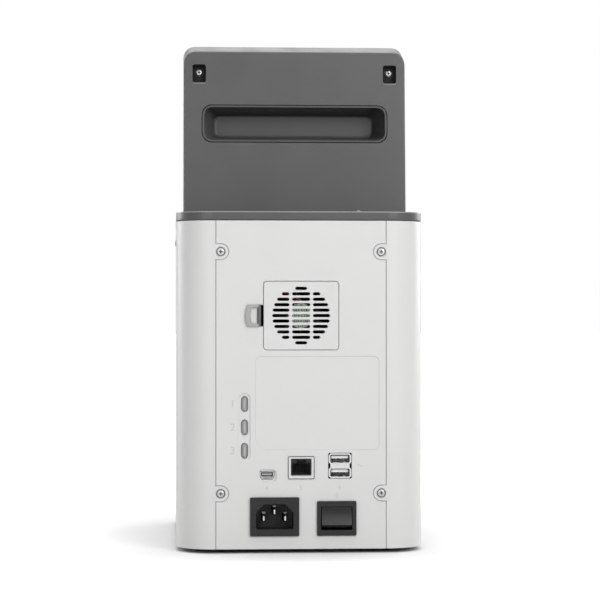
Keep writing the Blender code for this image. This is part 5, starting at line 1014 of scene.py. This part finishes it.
# Sensor window on the deck, and the pale bead of painted highlight along its edge, as radius or inset and
# level above the deck
WINDOW_CENTRE = (-37.9, 107.5)
WINDOW_RINGS = ((1.1, -0.02), (1.1, 0.35), (0.95, 0.6), (0.6, 0.75))
WINDOW_POINTS = 24
BEAD_SIZE = (162, 225, 25.2)
BEAD_SECTION = ((-0.03, -0.75), (-0.03, -0.1), (0.5, -0.1), (0.5, -0.75))
BEAD_CORNER_STEPS = 16


def on_deck(outline, level):
    return [Vector((u, v, DECK_TOP + level * MM)) for u, v in outline]


def make_deck_details():
    """Small pale sensor window close to the deck's rear edge, and a pale bead along its upper edge, a painted
    highlight.
    """
    rows = [on_deck(ring(radius, WINDOW_CENTRE, WINDOW_POINTS), level) for radius, level in WINDOW_RINGS]
    loft("deck_sensor_window", rows, PAD_GREY, "housing")
    rows = [
        on_deck(rounded(*BEAD_SIZE, inset=inset, steps=BEAD_CORNER_STEPS), level)
        for inset, level in BEAD_SECTION
    ]
    loft("deck_bead", rows, BEAD_HIGHLIGHT_GREY, "housing", closed=True)


# Size of a font whose numerals are 1 high, thickness of the print and its distance from the panel, in mm
FONT_SIZE = 1.37
PRINT_THICKNESS = 0.01
PRINT_LIFT = 0.012

# Plain numerals on the rear panel: piece, numeral, place across and up, height, and turn in degrees
BUTTON_NUMERAL = 5.0
PORT_NUMERAL = 3.2
NUMBERS = (
    ("button_number_1", "1", 44.6, 97.1, BUTTON_NUMERAL, 0),
    ("button_number_2", "2", 44.6, 81.9, BUTTON_NUMERAL, 0),
    ("button_number_3", "3", 44.6, 66.7, BUTTON_NUMERAL, 0),
    ("port_number_4", "4", 22.4, 42.2, PORT_NUMERAL, 0),
    ("port_number_5", "5", 0.2, 42.4, PORT_NUMERAL, 0),
    ("port_number_6", "6", -25.2, 42.4, PORT_NUMERAL, 0),
    ("port_number_7", "7", -38.6, 56.9, PORT_NUMERAL, 90),
    ("switch_number_8", "8", -23.3, 37.3, PORT_NUMERAL, 0),
)


def make_numbers():
    """Plain printed numerals on the rear panel, readable from behind."""
    upright = Matrix(((-1, 0, 0), (0, 0, 1), (0, 1, 0))).to_4x4()
    for name, numeral, x, z, height, turn in NUMBERS:
        curve = bpy.data.curves.new(name, "FONT")
        curve.body = numeral
        curve.size = height * MM * FONT_SIZE
        curve.align_x = "CENTER"
        curve.align_y = "CENTER"
        curve.extrude = PRINT_THICKNESS * MM
        curve.resolution_u = 4
        curve.materials.append(PRINT_GREY)
        piece = add_object(name, curve)
        spin = Matrix.Rotation(math.radians(turn), 4, "Y")
        spot = (x * MM, REAR + PRINT_LIFT * MM, z * MM)
        piece.matrix_world = Matrix.Translation(spot) @ spin @ upright
        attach(piece, "housing")


# Tear bar over the printer door: half its length, its teeth, and its section from the door's face and top
BAR_REACH = 28
TEETH = 40
TOOTH_HEIGHT = 0.55
BAR_NEAR, BAR_FAR = 0.35, 0.55
BAR_FOOT, BAR_TOP = -1.6, -0.75


def make_tear_bar():
    """Toothed tear bar over the printer door."""
    low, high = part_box("printer_door")
    top = high.z / MM
    face = low.y / MM
    rows = []
    for index in range(TEETH + 1):
        x = BAR_REACH * (2 * index / TEETH - 1)
        crest = BAR_TOP + (TOOTH_HEIGHT if index % 2 else 0.0)
        corners = ((BAR_FAR, BAR_FOOT), (BAR_NEAR, BAR_FOOT), (BAR_NEAR, crest), (BAR_FAR, crest))
        rows.append([Vector((x, face + depth, top + level)) * MM for depth, level in corners])
    loft("tear_bar", rows, FINISHES["steel"], "printer_door")


# Studio around the object: radiance towards each side, for all but the rays that the camera sees
STUDIO_REAR = 0.28
STUDIO_LEFT = 0.12
STUDIO_RIGHT = 0.34
STUDIO_FRONT = 0.56
STUDIO_TOP = 0.8
RIM_LEFT = 4.2
RIM_RIGHT = 4.2
BACK_HIGH = 2.4

# Where each of them starts and is whole: angles in degrees away from the rear, or the direction's height
LEFT_SPAN = (-0.05, 0.05)
SIDE_ANGLES = (35, 70)
FRONT_ANGLES = (118, 150)
RIM_RISE = (108, 122)
RIM_FALL = (156, 142)
RIM_HEIGHTS = (0.62, 0.42)
HIGH_ANGLES = (148, 162)
HIGH_HEIGHTS = (0.34, 0.5)
TOP_HEIGHTS = (0.6, 0.85)


def make_world():
    """White background for the camera; a soft studio with a bright strip behind each side for all else."""
    world = bpy.data.worlds.new("Studio")
    bpy.context.scene.world = world
    world.use_nodes = True
    tree = world.node_tree
    place = tree.nodes.new("ShaderNodeTexCoord")
    split = tree.nodes.new("ShaderNodeSeparateXYZ")
    tree.links.new(place.outputs["Generated"], split.inputs[0])
    x, y, z = split.outputs
    angle = math_node(tree, "MULTIPLY", math_node(tree, "ARCTAN2", x, y), math.degrees(1))
    away = math_node(tree, "ABSOLUTE", angle)
    is_left = smooth_step(tree, x, *LEFT_SPAN)
    side = crossfade(tree, is_left, STUDIO_RIGHT, STUDIO_LEFT)
    level = crossfade(tree, smooth_step(tree, away, *SIDE_ANGLES), STUDIO_REAR, side)
    level = crossfade(tree, smooth_step(tree, away, *FRONT_ANGLES), level, STUDIO_FRONT)
    rim = math_node(tree, "MULTIPLY", smooth_step(tree, away, *RIM_RISE), smooth_step(tree, away, *RIM_FALL))
    rim = math_node(tree, "MULTIPLY", rim, smooth_step(tree, z, *RIM_HEIGHTS))
    power = crossfade(tree, is_left, RIM_RIGHT, RIM_LEFT)
    level = math_node(tree, "ADD", level, math_node(tree, "MULTIPLY", rim, power))
    high = math_node(
        tree, "MULTIPLY", smooth_step(tree, away, *HIGH_ANGLES), smooth_step(tree, z, *HIGH_HEIGHTS)
    )
    level = math_node(tree, "ADD", level, math_node(tree, "MULTIPLY", high, BACK_HIGH - STUDIO_FRONT))
    level = crossfade(tree, smooth_step(tree, z, *TOP_HEIGHTS), level, STUDIO_TOP)
    background = tree.nodes["Background"]
    background.inputs["Color"].default_value = (1, 1, 1, 1)
    tree.links.new(crossfade(tree, seen_rays(tree), level, 1.0), background.inputs["Strength"])


# Floor: greys that the camera and all other rays see, half its size, half the width and depth of what stands
# on it, and the distance from there over which its glow rises to its end value
FLOOR_COLOUR = 0.88
FLOOR_BOUNCE = 0.64
FLOOR_REACH = 12
BODY_REACH = (0.07, 0.10)
FADE_DISTANCE = 0.26
FADE_GLOW = 0.9


def make_floor():
    """White table that takes shadows near the object and fades into the white background."""
    mesh = bpy.data.meshes.new("Floor")
    form = bmesh.new()
    bmesh.ops.create_grid(form, x_segments=8, y_segments=8, size=FLOOR_REACH)
    form.to_mesh(mesh)
    form.free()
    floor = add_object("Floor", mesh)
    material = bpy.data.materials.new("White table")
    material.use_nodes = True
    tree = material.node_tree
    for node in list(tree.nodes):
        tree.nodes.remove(node)
    out = tree.nodes.new("ShaderNodeOutputMaterial")
    matt = tree.nodes.new("ShaderNodeBsdfDiffuse")
    shown = seen_rays(tree)
    tree.links.new(crossfade(tree, shown, FLOOR_BOUNCE, FLOOR_COLOUR), matt.inputs["Color"])
    place = tree.nodes.new("ShaderNodeTexCoord")
    split = tree.nodes.new("ShaderNodeSeparateXYZ")
    tree.links.new(place.outputs["Object"], split.inputs[0])
    reaches = [beyond(tree, split.outputs[axis], BODY_REACH[axis]) for axis in (0, 1)]
    fade = smooth_step(tree, diagonal(tree, *reaches), 0.0, FADE_DISTANCE, 0.0, FADE_GLOW)
    glow = tree.nodes.new("ShaderNodeEmission")
    tree.links.new(math_node(tree, "MULTIPLY", shown, fade), glow.inputs["Strength"])
    both = tree.nodes.new("ShaderNodeAddShader")
    tree.links.new(matt.outputs[0], both.inputs[0])
    tree.links.new(glow.outputs[0], both.inputs[1])
    tree.links.new(both.outputs[0], out.inputs["Surface"])
    mesh.materials.append(material)


def turn_towards(thing, direction):
    """Turn a camera or a lamp so that it looks along the direction."""
    thing.rotation_euler = direction.to_track_quat("-Z", "Y").to_euler()


def make_camera():
    """Camera at the photograph's viewing angle."""
    camera = bpy.data.cameras.new("Camera")
    camera.lens = CAMERA_LENS
    camera.sensor_width = CAMERA_SENSOR
    camera.clip_start, camera.clip_end = CAMERA_RANGE
    view = add_object("Camera", camera)
    view.location = CAMERA_PLACE
    level = math.cos(CAMERA_PITCH)
    ahead = (math.sin(CAMERA_YAW) * level, -math.cos(CAMERA_YAW) * level, math.sin(CAMERA_PITCH))
    turn_towards(view, Vector(ahead))
    bpy.context.scene.camera = view


# Soft lamps: name, place, the point it shines at, size of its square, and power in watts
LAMPS = (
    ("Key", (-1.0, 1.9, 1.0), (0, 0.1, 0.17), 1.0, 21),
    ("Fill", (0.9, 2.0, 0.7), (0, 0.1, 0.17), 1.2, 8),
    ("Top", (0, 0.2, 2.2), (0, 0, 0.1), 1.6, 10),
)


def make_lamps():
    """Square lamps that the camera does not see."""
    for name, place, target, size, power in LAMPS:
        lamp = bpy.data.lights.new(name, "AREA")
        lamp.shape = "RECTANGLE"
        lamp.size = size
        lamp.size_y = size
        lamp.energy = power
        thing = add_object(name, lamp)
        thing.location = place
        turn_towards(thing, Vector(target) - Vector(place))
        thing.visible_camera = False


dress_nodes()
make_fan_details()
make_button_pads()
make_catch_strip()
make_seam_lips()
make_lan_details()
make_usb_details()
make_inlet_marks()
make_screw_heads()
make_deck_details()
make_numbers()
make_tear_bar()

make_camera()
make_world()
make_floor()
make_lamps()
bpy.context.scene.view_settings.view_transform = "Standard"
